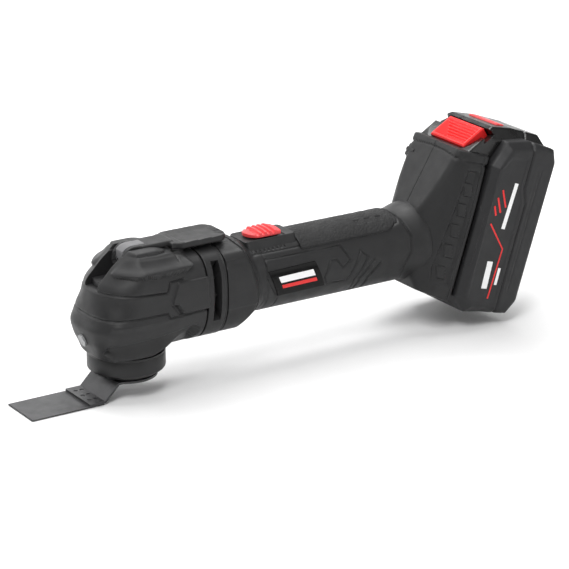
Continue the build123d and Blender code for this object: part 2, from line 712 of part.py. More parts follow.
def pack_shell():
    form = slab(SIDE_OUTLINE, -PACK_HALF, PACK_HALF) + slab(CENTRE_OUTLINE, -RAIL_HALF, RAIL_HALF)
    form -= slab(SIDE_HOLLOW, -PACK_HALF + WALL, PACK_HALF - WALL)
    form -= slab(RAIL_HOLLOW, -21.5, 21.5)
    form -= slab(HEAD_HOLLOW, -24.0, 24.0)
    groove = block(RIB_X[0] - 0.4, RIB_X[1] + 0.4, RAIL_HALF - RIB_DEPTH - 0.1, 40, 0, 97.5)
    groove -= block(-20, 20, RAIL_HALF, 50, -10, 120)
    form -= both_sides(groove)
    return form


def battery_front_case():
    case = pack_shell() - block(PACK_SPLIT, 80, -60, 60, -60, 160)
    for n in (-1, 0, 1):
        y = n * BLADE_PITCH_Y
        case -= block(RAIL_FRONT + WALL, TERMINAL_X[1] + 0.4, y - 0.9, y + 0.9, 8, 12)
    case -= block(RAIL_FRONT - 1, -7, -5.6, 5.6, 89.6, 94.4)
    case -= latch_window()
    case -= block(1.0, 8.0, -16.5, 16.5, 114, 119)
    for y, z in pack_screw_places():
        case += rod_x(y, z, 12, PACK_SPLIT, 3.4) - rod_x(y, z, 20, 40, 1.3)
    return PACK * case


def battery_rear_case():
    case = pack_shell() & block(PACK_SPLIT + 0.1, 80, -60, 60, -60, 160)
    for y, z in pack_screw_places():
        case += rod_x(y, z, PACK_SPLIT + 0.1, 44.5, 3.4)
    for y, z in pack_screw_places():
        case -= rod_x(y, z, 20, 60, 1.5)
        case -= rod_x(y, z, PACK_SCREW_SEAT, 60, 2.9)
    return PACK * case


def pack_screw_places():
    return [(y, z) for y in (-20.0, 20.0) for z in (-2.2, 104.2)]


def battery_screws():
    screws = []
    for y, z in pack_screw_places():
        shank = rod_x(y, z, 20.5, PACK_SCREW_SEAT, 1.25)
        screws.append(PACK * (shank + rod_x(y, z, PACK_SCREW_SEAT, PACK_SCREW_SEAT + 2.2, 2.7)))
    return group(screws)


def latch_window():
    """Slanted opening in the pack's nose that the latch cup shows through."""
    outline = ((-20.5, 101.6), (-10.0, 115.6), (-4.0, 111.0), (-8.0, 101.6))
    return slab(outline, -LATCH_HALF - GAP, LATCH_HALF + GAP)


def battery_latch():
    """Finger cup with a hook that reaches forward into the tool's seat."""
    cup = slab(((-17.8, 102.0), (-9.2, 113.1), (-2.9, 108.2), (-2.9, 102.0)), -LATCH_HALF, LATCH_HALF)
    pocket = ((-18.5, 103.5), (-4.8, 103.5), (-8.9, 111.4), (-12.5, 111.4))
    cup -= slab(pocket, -LATCH_HALF + 1.6, LATCH_HALF - 1.6)
    leg = block(-6.9, -4.9, -5, 5, 90.4, 102.4)
    tongue = block(-11.5, -5.5, -5, 5, 90.4, 93.4)
    return PACK * (cup + leg + tongue)


def gauge_button():
    return PACK * block(1.3, 7.7, -16.2, 16.2, 113.0, 118.4)


def cell_places():
    return [(x, CELL_FIRST + CELL_PITCH * n) for x in CELL_ROWS for n in range(5)]


def battery_cells():
    cells = []
    for x, z in cell_places():
        cell = rod_y(x, z, -CELL_HALF, CELL_HALF - 1.2, CELL_R) + rod_y(x, z, 30, CELL_HALF, 3.2)
        cells.append(PACK * cell)
    return group(cells)


def cell_holder():
    frames = []
    outline = ((3.4, 2.0), (3.4, 87.0), (8.2, 98.8), (43.6, 98.8), (43.6, 2.0))
    for y0, y1 in ((-32.4, -28.4), (27.0, 31.0)):
        frame = slab(outline, y0, y1)
        for x, z in cell_places():
            frame -= rod_y(x, z, y0 - 1, y1 + 1, CELL_R + 0.05)
        frames.append(PACK * frame)
    return group(frames)


def battery_board():
    board = block(-2.6, -1.0, -20, 20, 14, 86)
    return PACK * (board + block(-1.1, 2.2, -12, 12, 40, 60))


def battery_contacts():
    """A pair of spring leaves for each of the tool's three blades."""
    clips = []
    for n in (-1, 0, 1):
        y = n * BLADE_PITCH_Y
        base = block(-3.1, -2.6, y - 2.4, y + 2.4, 14, 26)
        leaves = block(-7.3, -3.0, y - 1.5, y - 0.7, 14, 26) + block(-7.3, -3.0, y + 0.7, y + 1.5, 14, 26)
        clips.append(PACK * (base + leaves))
    return group(clips)


# ---- assembly ----
def build_nodes():
    near, far = housing_halves(housing())
    return {
        "head_cover": head_cover(), "gear_case": gear_case(), "nose_collar": nose_collar(),
        "vent_ring": vent_ring(), "motor_plate": motor_plate(), "gear_case_screws": case_screws(),
        "housing_near": near, "housing_far": far, "housing_screws": housing_screws(),
        "grip_strip": grip_strip(), "name_plate": name_plate(), "switch_plate": switch_plate(),
        "led_lens": led_lens(), "led_board": led_board(), "lever_pin": lever_pin(),
        "lower_bearing": ball_bearing(LOW_BEARING), "upper_bearing": ball_bearing(TOP_BEARING),
        "dust_seal": dust_seal(), "motor_can": motor_can(), "motor_magnets": motor_magnets(),
        "motor_end_cap": motor_end_cap(), "motor_bearings": motor_bearings(), "brushes": brushes(),
        "microswitch": microswitch(), "control_board": control_board(), "speed_pot": speed_pot(),
        "terminal_block": terminal_block(), "terminal_blades": terminal_blades(),
        "clamp_lever": clamp_lever(), "lever_strip": lever_strip_form(), "cam_disc": cam_disc(),
        "spindle": spindle(), "drive_flange": drive_flange(), "drive_fork": drive_fork(),
        "draw_bar": draw_bar(), "clamp_spring": clamp_spring(), "blade_shank": blade_shank(),
        "blade_plate": blade_plate(), "motor_shaft": motor_shaft(), "armature": armature(),
        "commutator": commutator(), "fan": fan(), "eccentric": eccentric(),
        "drive_bearing": drive_bearing(), "slide_button": slide_button(), "switch_link": switch_link(),
        "speed_dial": speed_dial(), "battery_front_case": battery_front_case(),
        "battery_rear_case": battery_rear_case(), "battery_cells": battery_cells(),
        "cell_holder": cell_holder(), "battery_board": battery_board(),
        "battery_contacts": battery_contacts(), "battery_screws": battery_screws(),
        "battery_latch": battery_latch(), "gauge_button": gauge_button(),
    }


def export_nodes(nodes):
    os.makedirs("parts", exist_ok=True)
    boxes = [shape.bounding_box() for shape in nodes.values()]
    low = [min(getattr(b.min, k) for b in boxes) for k in "XYZ"]
    high = [max(getattr(b.max, k) for b in boxes) for k in "XYZ"]
    shift = Vector(-(low[0] + high[0]) / 2, -(low[1] + high[1]) / 2, -low[2])
    for name, shape in nodes.items():
        export_step(Location(shift) * shape, f"parts/{name}.step")
    print("shift", shift, "size", [round(h - l, 2) for l, h in zip(low, high)])
    print("joint places in the exported frame, mm")
    print("lever pivot", PIVOT_X + shift.X, shift.Y, PIVOT_Z + shift.Z)
    print("spindle axis", shift.X, shift.Y)
    print("motor axis", shift.Y, MOTOR_Z + shift.Z)
    dial = PACK * Location((DIAL_AT[0], 0, DIAL_AT[1]))
    print("dial axis", dial.position.X + shift.X, dial.position.Z + shift.Z)
    print("spring seat", SPRING_Z + shift.Z, "drop per radian", CLAMP_TRAVEL / radians(LEVER_OPEN_DEG))
    rear = PACK * Location((50.0, 0, 56.0))
    print("pack rear face", rear.position.X + shift.X, rear.position.Z + shift.Z)


if __name__ == "__main__":
    export_nodes(build_nodes())
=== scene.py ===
"""Looks of a cordless oscillating multi-tool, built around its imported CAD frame.

Every shell is worked out in the tool's own frame: millimetres, the origin on the spindle axis at the foot of
the collar, +X towards the battery and +Z up. The battery uses a tilted frame of its own, (w, y, a): w runs
outwards through the pack, a along its slide. Shells are level sets of signed-distance-like fields, found along
a grid of straight rays that leave a spine inside the shell.
"""

import json
import logging
import math
from dataclasses import dataclass
from enum import Enum
from typing import Callable, Sequence

import bpy
import numpy as np
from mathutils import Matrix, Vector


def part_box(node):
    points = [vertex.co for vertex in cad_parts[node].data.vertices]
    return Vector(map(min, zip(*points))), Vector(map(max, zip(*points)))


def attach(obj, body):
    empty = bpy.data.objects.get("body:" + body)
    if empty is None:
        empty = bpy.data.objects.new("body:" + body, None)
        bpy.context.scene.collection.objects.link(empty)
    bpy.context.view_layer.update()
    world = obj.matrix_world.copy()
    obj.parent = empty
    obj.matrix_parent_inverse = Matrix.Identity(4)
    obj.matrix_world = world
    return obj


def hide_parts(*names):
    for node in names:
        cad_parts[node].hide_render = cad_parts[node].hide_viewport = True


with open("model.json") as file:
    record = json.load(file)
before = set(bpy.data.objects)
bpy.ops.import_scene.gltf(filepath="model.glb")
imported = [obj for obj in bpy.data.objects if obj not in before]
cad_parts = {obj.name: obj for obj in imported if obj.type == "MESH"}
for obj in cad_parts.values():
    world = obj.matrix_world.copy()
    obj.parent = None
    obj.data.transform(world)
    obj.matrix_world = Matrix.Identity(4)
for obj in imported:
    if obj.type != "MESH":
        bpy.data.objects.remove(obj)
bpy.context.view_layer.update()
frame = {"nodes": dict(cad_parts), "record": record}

Array = np.ndarray
Field = Callable[[Array], Array]
LOG = logging.getLogger("multi_tool")
IMAGE_SIDE = 569
HANDLE_Z = 45.8  # height of the round handle's centre, mm
HANDLE_R = 24.0  # its radius, mm


# ---------------------------------------------------------------- field maths


def smooth_min(a: Array, b: Array, k: float) -> Array:
    """Smaller of two fields, with the crease between them rounded over a width k."""
    h = np.clip(0.5 + 0.5 * (b - a) / k, 0.0, 1.0)
    return b * (1 - h) + a * h - k * h * (1 - h)


def smooth_max(a: Array, b: Array, k: float) -> Array:
    """Larger of two fields, with the edge between them rounded over a width k."""
    return -smooth_min(-a, -b, k)


def ramp(x: Array, start: float, end: float) -> Array:
    """Smooth step from 0 at start to 1 at end."""
    t = np.clip((x - start) / (end - start), 0.0, 1.0)
    return t * t * (3 - 2 * t)


def mix(a: Array, b: Array, share: Array) -> Array:
    """Straight blend from a to b by share."""
    return a + (b - a) * share


def trace(distance: Array, width: float) -> Array:
    """Bell of height one over a line: exp(-(distance / width)^2)."""
    return np.exp(-((distance / width) ** 2))


def smooth_curve(stations: Sequence[float], values: Sequence[float]) -> Callable[[Array], Array]:
    """Curve through points that never overshoots them (monotone cubic Hermite).

    Args:
        stations: Rising positions of the points.
        values: The curve's value at each.

    Returns:
        A function that reads the curve from a fine table.
    """
    x, y = np.asarray(stations, float), np.asarray(values, float)
    slope = np.diff(y) / np.diff(x)
    turn = slope[1:] * slope[:-1] > 0
    tangent = np.zeros_like(y)
    tangent[1:-1][turn] = 2 * slope[1:][turn] * slope[:-1][turn] / (slope[1:] + slope[:-1])[turn]
    tangent[0], tangent[-1] = slope[0], slope[-1]
    fine = np.linspace(x[0], x[-1], 600)
    i = np.clip(np.searchsorted(x, fine, side="right") - 1, 0, len(x) - 2)
    h = x[i + 1] - x[i]
    t = (fine - x[i]) / h
    table = (
        (2 * t**3 - 3 * t**2 + 1) * y[i]
        + (t**3 - 2 * t**2 + t) * h * tangent[i]
        + (-2 * t**3 + 3 * t**2) * y[i + 1]
        + (t**3 - t**2) * h * tangent[i + 1]
    )
    return lambda at: np.interp(at, fine, table)


def split(p: Array) -> tuple[Array, Array, Array]:
    """The three coordinates of points, each as an array of its own."""
    return p[..., 0], p[..., 1], p[..., 2]


def stroke(u: Array, v: Array, points: Sequence[tuple[float, float]], closed: bool = False) -> Array:
    """Distance from (u, v) to a chain of straight runs.

    Args:
        u: First coordinate.
        v: Second coordinate.
        points: Corners of the chain.
        closed: Whether the last corner joins the first.

    Returns:
        The distance to the nearest run.
    """
    ends = list(points[1:]) + ([points[0]] if closed else [])
    best = np.full(np.shape(u), 1e9)
    for (ax, ay), (bx, by) in zip(points, ends):
        dx, dy = bx - ax, by - ay
        t = np.clip(((u - ax) * dx + (v - ay) * dy) / (dx * dx + dy * dy), 0.0, 1.0)
        best = np.minimum(best, np.hypot(u - ax - t * dx, v - ay - t * dy))
    return best


def outline(u: Array, v: Array, points: Sequence[tuple[float, float]]) -> Array:
    """Signed distance to a closed outline, its sign found by counting the edges crossed.

    Args:
        u: First coordinate.
        v: Second coordinate.
        points: Corners of the outline.

    Returns:
        The distance, negative inside.
    """
    inside = np.zeros(np.shape(u), bool)
    for (ax, ay), (bx, by) in zip(points, list(points[1:]) + [points[0]]):
        crosses = (ay > v) != (by > v)
        span = by - ay if by != ay else 1e-9
        inside ^= crosses & (u < (bx - ax) * (v - ay) / span + ax)
    return np.where(inside, -1.0, 1.0) * stroke(u, v, points, closed=True)


def slab_box(p: Array, low: Sequence[float], high: Sequence[float], corner: float) -> Array:
    """Signed distance to a box with rounded edges.

    Args:
        p: Points, the last axis holding three coordinates.
        low: Lowest corner.
        high: Highest corner.
        corner: Radius of the rounded edges.

    Returns:
        The distance, negative inside.
    """
    centre = (np.asarray(low) + np.asarray(high)) / 2
    half = (np.asarray(high) - np.asarray(low)) / 2 - corner
    q = np.abs(p - centre) - half
    return np.linalg.norm(np.maximum(q, 0), axis=-1) + np.minimum(q.max(axis=-1), 0) - corner


# ---------------------------------------------------------------- frames and meshes


@dataclass(frozen=True)
class Place:
    """Millimetre frame of a part of the tool, and how it stands in the row frame."""

    origin: tuple[float, float, float]
    tilt: float = 0.0

    def to_row(self, p: Array) -> Array:
        """Turn points by the tilt about Y, move them to the origin and give metres.

        Args:
            p: Points of the place's own frame, mm.

        Returns:
            The same points in the row frame, metres.
        """
        c, s = math.cos(self.tilt), math.sin(self.tilt)
        x = c * p[..., 0] + s * p[..., 2]
        z = -s * p[..., 0] + c * p[..., 2]
        return (np.stack([x, p[..., 1], z], -1) + np.asarray(self.origin)) / 1000.0


def tool_place() -> Place:
    """Frame of the tool, read from the collar: its axis and its foot."""
    low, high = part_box("nose_collar")
    return Place(((low[0] + high[0]) * 500.0, 0.0, low[2] * 1000.0))


TOOL = tool_place()
PACK = Place((TOOL.origin[0] + 227.7, 0.0, TOOL.origin[2] + 13.4), math.radians(18.0))


@dataclass(frozen=True)
class Spine:
    """Straight line inside a shell, and the rays that leave it.

    The rays stand square to the line along its length and turn to point along it at its two ends, so that they
    reach every side of the shell. A crowd above 1 sets the turning rays closer to the square ones.
    """

    start: tuple[float, float, float]
    end: tuple[float, float, float]
    upward: tuple[float, float, float]
    around: int
    along: int
    cap: int
    crowd: float = 1.0

    def rays(self, stations: Array | None = None) -> tuple[Array, Array]:
        """Anchors and directions of the rays.

        Args:
            stations: Shares of the length that the square rays stand at, or None for even steps.

        Returns:
            Two arrays of rows x around x 3; the first and last rows are single poles repeated.
        """
        a, b = np.asarray(self.start, float), np.asarray(self.end, float)
        axis = (b - a) / np.linalg.norm(b - a)
        side = np.cross(axis, self.upward)
        side /= np.linalg.norm(side)
        rise = np.cross(side, axis)
        turn = np.linspace(0, 2 * np.pi, self.around, endpoint=False)
        ring = np.cos(turn)[:, None] * rise + np.sin(turn)[:, None] * side
        bend = -np.pi / 2 * (1 - np.linspace(0, 1, self.cap, endpoint=False)) ** self.crowd
        share = np.linspace(0, 1, self.along) if stations is None else stations
        phi = np.concatenate([bend, np.zeros(len(share)), -bend[::-1]])
        t = np.concatenate([np.zeros(self.cap), share, np.ones(self.cap)])
        anchors = np.repeat((a + t[:, None] * (b - a))[:, None, :], self.around, axis=1)
        ways = np.cos(phi)[:, None, None] * ring[None] + np.sin(phi)[:, None, None] * axis
        return anchors, ways


def solve(field: Field, anchors: Array, ways: Array, reach: float, steps: int = 20) -> Array:
    """Surface points: on each ray, halve the span between inside and outside until it is tiny.

    Args:
        field: Field that is negative inside.
        anchors: Starts of the rays, inside the shell.
        ways: Directions of the rays.
        reach: Length of the rays, mm.
        steps: How many times the span is halved.

    Returns:
        One point on each ray.
    """
    near = np.zeros(anchors.shape[:-1])
    far = np.full(anchors.shape[:-1], reach)
    for _ in range(steps):
        middle = (near + far) / 2
        inside = field(anchors + ways * middle[..., None]) < 0
        near, far = np.where(inside, middle, near), np.where(inside, far, middle)
    return anchors + ways * ((near + far) / 2)[..., None]


def make_piece(name: str, vertices: Array, faces: Array, sharp: float = 40.0) -> bpy.types.Object:
    """Mesh object from arrays, smooth shaded with edges steeper than an angle kept sharp.

    Args:
        name: Name of the piece.
        vertices: Points in the row frame, metres.
        faces: Corner indices; a row of four may repeat its last index to stand for a triangle.
        sharp: Angle in degrees past which an edge stays sharp.

    Returns:
        The new object.
    """
    corners = np.asarray(faces, np.int32)
    keep = np.ones(corners.shape, bool)
    if corners.shape[1] == 4:
        keep[:, 3] = corners[:, 3] != corners[:, 2]
    counts = keep.sum(axis=1).astype(np.int32)
    mesh = bpy.data.meshes.new(name)
    mesh.vertices.add(len(vertices))
    mesh.vertices.foreach_set("co", np.asarray(vertices, np.float32).ravel())
    mesh.loops.add(int(counts.sum()))
    mesh.loops.foreach_set("vertex_index", corners[keep])
    mesh.polygons.add(len(corners))
    mesh.polygons.foreach_set("loop_start", np.concatenate([[0], np.cumsum(counts)[:-1]]).astype(np.int32))
    mesh.update(calc_edges=True)
    mesh.validate()
    mesh.shade_smooth()
    mesh.set_sharp_from_angle(angle=math.radians(sharp))
    piece = bpy.data.objects.new(name, mesh)
    bpy.context.scene.collection.objects.link(piece)
    return piece


def close_grid(points: Array) -> tuple[Array, Array]:
    """Turn a grid whose rows are closed rings, and whose end rows are poles, into vertices and faces.

    Args:
        points: Rows x around x 3.

    Returns:
        Vertices and faces of a closed surface.
    """
    rows, around = points.shape[:2]
    body = points[1:-1].reshape(-1, 3)
    vertices = np.vstack([body, points[0].mean(axis=0), points[-1].mean(axis=0)])
    first, last = len(body), len(body) + 1
    j = np.arange(around)
    k = (j + 1) % around
    base = (np.arange(rows - 3) * around)[:, None]
    quads = np.stack([base + j, base + k, base + around + k, base + around + j], -1).reshape(-1, 4)
    top = (rows - 3) * around
    fan_a = np.stack([np.full(around, first), k, j, j], -1)
    fan_b = np.stack([top + j, top + k, np.full(around, last), np.full(around, last)], -1)
    return vertices, np.vstack([quads, fan_a, fan_b])


def outward(vertices: Array, faces: Array) -> Array:
    """Faces turned round if the closed surface they make has a negative volume.

    Args:
        vertices: Points of the surface.
        faces: Rows of four corners.

    Returns:
        The faces, pointing outwards.
    """
    a, b, c = (vertices[faces[:, i]] for i in range(3))
    d = vertices[faces[:, 3]]
    volume = np.einsum("ij,ij->i", a, np.cross(b, c)).sum() + np.einsum("ij,ij->i", a, np.cross(c, d)).sum()
    return faces if volume > 0 else flip(faces)


def flip(faces: Array) -> Array:
    """Reverse four-cornered faces, keeping a repeated last corner last.

    Args:
        faces: Rows of four corners.

    Returns:
        The same faces the other way round.
    """
    triangle = faces[:, 3] == faces[:, 2]
    turned = faces[:, ::-1].copy()
    turned[triangle] = faces[triangle][:, [1, 0, 2, 2]]
    return turned


def shell(name: str, field: Field, spine: Spine, place: Place, reach: float, stations: Array | None = None,
          sharp: float = 40.0) -> bpy.types.Object:
    """Closed surface of a field, found along a spine's rays.

    Args:
        name: Name of the piece.
        field: Field that is negative inside.
        spine: Spine whose rays find the surface.
        place: Frame that the field works in.
        reach: Length of the rays, mm.
        stations: Shares of the spine's length, or None for even steps.
        sharp: Angle in degrees past which an edge stays sharp.

    Returns:
        The new piece.
    """
    anchors, ways = spine.rays(stations)
    vertices, faces = close_grid(solve(field, anchors, ways, reach))
    vertices = place.to_row(vertices)
    return make_piece(name, vertices, outward(vertices, faces), sharp)


def sheet_block(name: str, top: Array, thickness: Array, place: Place, sharp: float = 40.0) -> bpy.types.Object:
    """Thin closed block: a grid of points, the same grid moved back, and a rim round both.

    Args:
        name: Name of the piece.
        top: Rows x columns x 3, the outer skin.
        thickness: Vector from the outer skin to the inner one, one for all points or one each.
        place: Frame that the points are in.
        sharp: Angle in degrees past which an edge stays sharp.

    Returns:
        The new piece.
    """
    rows, columns = top.shape[:2]
    vertices = place.to_row(np.concatenate([top.reshape(-1, 3), (top + thickness).reshape(-1, 3)]))
    index = np.arange(rows * columns).reshape(rows, columns)
    quads = np.stack([index[:-1, :-1], index[:-1, 1:], index[1:, 1:], index[1:, :-1]], -1).reshape(-1, 4)
    lower = index + rows * columns
    under = np.stack([lower[:-1, :-1], lower[1:, :-1], lower[1:, 1:], lower[:-1, 1:]], -1).reshape(-1, 4)
    rim = np.concatenate([index[0, :], index[1:, -1], index[-1, -2::-1], index[-2:0:-1, 0]])
    following = np.roll(rim, -1)
    offset = rows * columns
    wall = np.stack([rim, rim + offset, following + offset, following], -1)
    faces = np.vstack([quads, under, wall])
    return make_piece(name, vertices, outward(vertices, faces), sharp)


def lathe(name: str, profile: Sequence[tuple[float, float]], place: Place, around: int = 160,
          centre: tuple[float, float] = (0.0, 0.0)) -> bpy.types.Object:
    """Closed surface turned about an upright axis: (radius cos t, radius sin t, height) over the profile.

    Args:
        name: Name of the piece.
        profile: Radius and height of each profile point; the first and last have radius zero.
        place: Frame that the profile is in.
        around: Steps round the axis.
        centre: Place of the axis.

    Returns:
        The new piece.
    """
    radius, height = np.asarray(profile, float).T
    t = np.linspace(0, 2 * np.pi, around, endpoint=False)
    x = centre[0] + radius[:, None] * np.cos(t)
    y = centre[1] + radius[:, None] * np.sin(t)
    vertices, faces = close_grid(np.stack([x, y, np.broadcast_to(height[:, None], x.shape)], -1))
    vertices = place.to_row(vertices)
    return make_piece(name, vertices, outward(vertices, faces), 30.0)


# ---------------------------------------------------------------- finishes


class Texture(Enum):
    """Character of a finish's surface relief."""

    MOULDED = "moulded"
    BRUSHED = "brushed"
    KNURLED = "knurled"
    POLISHED = "polished"


CLOUD_SCALE, SMEAR_SCALE, CELL_SCALE = 38.0, 140.0, 620.0  # mottling, smears, grip cells; cycles per metre
USUAL_NOISE = (0.3, 0.7)  # range that a noise value mostly stays in
WEAR_RADIUS = 0.0007  # width of a worn edge, metres
COAT_ROUGHNESS = 0.12
GLOSS_SPREAD = 0.07  # how far the smears carry the roughness each way


@dataclass(frozen=True)
class Finish:
    """Procedural finish: base colour with mottling, edge wear, and grain in the gloss and the relief."""

    name: str
    colour: tuple[float, float, float]
    roughness: float
    texture: Texture = Texture.MOULDED
    metallic: float = 0.0
    grain: float = 0.45
    relief: float = 0.05
    mottle: float = 0.12
    wear: float = 0.35
    coat: float = 0.0
    clear: float = 0.0
    shine: float = 0.35

    def build(self) -> bpy.types.Material:
        """Node material of the finish.

        Returns:
            The material, made once per name.
        """
        known = bpy.data.materials.get(self.name)
        if known:
            return known
        material = bpy.data.materials.new(self.name)
        material.use_nodes = True
        tree = material.node_tree
        nodes, links = tree.nodes, tree.links
        shader = nodes["Principled BSDF"]
        shader.inputs["Metallic"].default_value = self.metallic
        shader.inputs["Coat Weight"].default_value = self.coat
        shader.inputs["Coat Roughness"].default_value = COAT_ROUGHNESS
        shader.inputs["Specular IOR Level"].default_value = self.shine
        shader.inputs["Transmission Weight"].default_value = self.clear
        place = nodes.new("ShaderNodeTexCoord").outputs["Object"]
        stretch = nodes.new("ShaderNodeMapping")
        stretch.inputs["Scale"].default_value = (0.06, 1.0, 1.0) if self.texture is Texture.BRUSHED else (1, 1, 1)
        links.new(place, stretch.inputs["Vector"])
        grain = self.noise(tree, stretch.outputs["Vector"], 1000.0 / self.grain, 3.0)
        cloud = self.noise(tree, place, CLOUD_SCALE, 4.0)
        smear = self.noise(tree, place, SMEAR_SCALE, 6.0)
        tone = self.spread(tree, cloud, 1.0 - self.mottle, 1.0 + self.mottle)
        speck = self.spread(tree, grain, 1.0 - self.mottle * 0.8, 1.0 + self.mottle * 0.8)
        shade = self.maths(tree, "MULTIPLY", tone, speck)
        scaled = nodes.new("ShaderNodeVectorMath")
        scaled.operation = "SCALE"
        scaled.inputs[0].default_value = self.colour
        links.new(shade, scaled.inputs["Scale"])
        links.new(self.worn(tree, scaled.outputs["Vector"], smear), shader.inputs["Base Color"])
        gloss = self.spread(tree, smear, self.roughness - GLOSS_SPREAD, self.roughness + GLOSS_SPREAD)
        links.new(gloss, shader.inputs["Roughness"])
        bump = nodes.new("ShaderNodeBump")
        bump.inputs["Strength"].default_value = 1.0 if self.texture is not Texture.POLISHED else 0.35
        bump.inputs["Distance"].default_value = self.relief / 1000.0
        links.new(self.height(tree, grain, place), bump.inputs["Height"])
        links.new(bump.outputs["Normal"], shader.inputs["Normal"])
        return material

    def height(self, tree: bpy.types.NodeTree, grain: bpy.types.NodeSocket,
               place: bpy.types.NodeSocket) -> bpy.types.NodeSocket:
        """Relief: the grain alone, or small raised cells for a knurled grip.

        Args:
            tree: Node tree to add to.
            grain: Grain value.
            place: Object coordinates.

        Returns:
            The height value.
        """
        if self.texture is not Texture.KNURLED:
            return grain
        cells = tree.nodes.new("ShaderNodeTexVoronoi")
        cells.inputs["Scale"].default_value = CELL_SCALE
        tree.links.new(place, cells.inputs["Vector"])
        return self.maths(tree, "SUBTRACT", grain, self.maths(tree, "MULTIPLY", cells.outputs["Distance"], 1.6))

    def worn(self, tree: bpy.types.NodeTree, colour: bpy.types.NodeSocket,
             patchy: bpy.types.NodeSocket) -> bpy.types.NodeSocket:
        """Lighter, patchy edges where a rounded normal leaves the true one.

        Args:
            tree: Node tree to add to.
            colour: Colour of the unworn finish.
            patchy: Noise that breaks the wear up.

        Returns:
            The worn colour.
        """
        nodes, links = tree.nodes, tree.links
        bevel = nodes.new("ShaderNodeBevel")
        bevel.samples = 4
        bevel.inputs["Radius"].default_value = WEAR_RADIUS
        true_normal = nodes.new("ShaderNodeNewGeometry").outputs["Normal"]
        dot = nodes.new("ShaderNodeVectorMath")
        dot.operation = "DOT_PRODUCT"
        links.new(bevel.outputs["Normal"], dot.inputs[0])
        links.new(true_normal, dot.inputs[1])
        edge = nodes.new("ShaderNodeMapRange")
        edge.inputs["From Min"].default_value = 0.995
        edge.inputs["From Max"].default_value = 0.85
        links.new(dot.outputs["Value"], edge.inputs["Value"])
        patches = self.spread(tree, patchy, 0.0, self.wear * 2)
        amount = self.maths(tree, "MULTIPLY", edge.outputs["Result"], patches)
        blend = nodes.new("ShaderNodeMix")
        blend.data_type = "RGBA"
        links.new(amount, blend.inputs["Factor"])
        links.new(colour, blend.inputs["A"])
        lighter = [min(1.0, c * 1.6 + 0.015) for c in self.colour]
        blend.inputs["B"].default_value = (*lighter, 1.0)
        return blend.outputs["Result"]

    @staticmethod
    def noise(tree: bpy.types.NodeTree, place: bpy.types.NodeSocket, scale: float,
              detail: float) -> bpy.types.NodeSocket:
        """Noise value at a scale.

        Args:
            tree: Node tree to add to.
            place: Coordinates to read.
            scale: Cycles per metre.
            detail: Octaves of finer noise.

        Returns:
            The noise value.
        """
        node = tree.nodes.new("ShaderNodeTexNoise")
        node.inputs["Scale"].default_value = scale
        node.inputs["Detail"].default_value = detail
        tree.links.new(place, node.inputs["Vector"])
        return node.outputs["Fac"]

    @staticmethod
    def spread(tree: bpy.types.NodeTree, value: bpy.types.NodeSocket, low: float,
               high: float) -> bpy.types.NodeSocket:
        """Carry a noise value's usual range to another one.

        Args:
            tree: Node tree to add to.
            value: The noise value.
            low: Result at the lower end of the usual range.
            high: Result at its upper end.

        Returns:
            The carried value.
        """
        node = tree.nodes.new("ShaderNodeMapRange")
        node.inputs["From Min"].default_value = USUAL_NOISE[0]
        node.inputs["From Max"].default_value = USUAL_NOISE[1]
        node.inputs["To Min"].default_value = low
        node.inputs["To Max"].default_value = high
        tree.links.new(value, node.inputs["Value"])
        return node.outputs["Result"]

    @staticmethod
    def maths(tree: bpy.types.NodeTree, operation: str, a: bpy.types.NodeSocket,
              b: bpy.types.NodeSocket | float) -> bpy.types.NodeSocket:
        """One arithmetic node on a value and another value or number.

        Args:
            tree: Node tree to add to.
            operation: Name of the operation.
            a: First value.
            b: Second value or number.

        Returns:
            The result.
        """
        node = tree.nodes.new("ShaderNodeMath")
        node.operation = operation
        tree.links.new(a, node.inputs[0])
        if isinstance(b, float):
            node.inputs[1].default_value = b
        else:
            tree.links.new(b, node.inputs[1])
        return node.outputs["Value"]


HEAD_PLASTIC = Finish("head_plastic_finish", (0.016, 0.016, 0.0165), 0.5, grain=0.5, relief=0.045)
HOUSING_PLASTIC = Finish("housing_plastic_finish", (0.014, 0.014, 0.0145), 0.52, grain=0.5, relief=0.05)
COLLAR_BLACK = Finish("collar_finish", (0.010, 0.010, 0.0104), 0.42, relief=0.02, wear=0.25)
SOFT_GRIP = Finish("soft_grip_finish", (0.013, 0.013, 0.0134), 0.68, Texture.KNURLED, grain=0.4, relief=0.22)
DARK_INNER = Finish("inner_plastic_finish", (0.012, 0.012, 0.012), 0.6, relief=0.03)
GREY_INLAY = Finish("grey_inlay_finish", (0.13, 0.13, 0.134), 0.42, relief=0.02, mottle=0.06)
LENS = Finish("lens_finish", (0.26, 0.265, 0.27), 0.22, Texture.POLISHED, relief=0.01, mottle=0.04, clear=0.25)
RED_SWITCH = Finish("switch_red_finish", (0.72, 0.06, 0.065), 0.4, relief=0.03, mottle=0.07, wear=0.2)
RED_LATCH = Finish("latch_red_finish", (0.82, 0.022, 0.022), 0.36, relief=0.03, mottle=0.06, wear=0.2)
PLATE_GLOSS = Finish("plate_gloss_finish", (0.003, 0.003, 0.003), 0.2, Texture.POLISHED, relief=0.01, shine=0.15)
MARK_WHITE = Finish("mark_white_finish", (0.86, 0.86, 0.86), 0.4, Texture.POLISHED, relief=0.01, mottle=0.03)
MARK_RED = Finish("mark_red_finish", (0.72, 0.02, 0.02), 0.4, Texture.POLISHED, relief=0.01, mottle=0.04)
PACK_PLASTIC = Finish("pack_plastic_finish", (0.016, 0.016, 0.017), 0.5, grain=0.42, relief=0.045)
PACK_BLACK = Finish("pack_black_finish", (0.004, 0.004, 0.004), 0.3, relief=0.02, wear=0.1, shine=0.5)
BLADE_STEEL = Finish("blade_steel_finish", (0.05, 0.05, 0.052), 0.42, Texture.BRUSHED, 0.45, 0.3, 0.02, 0.16, 0.6)
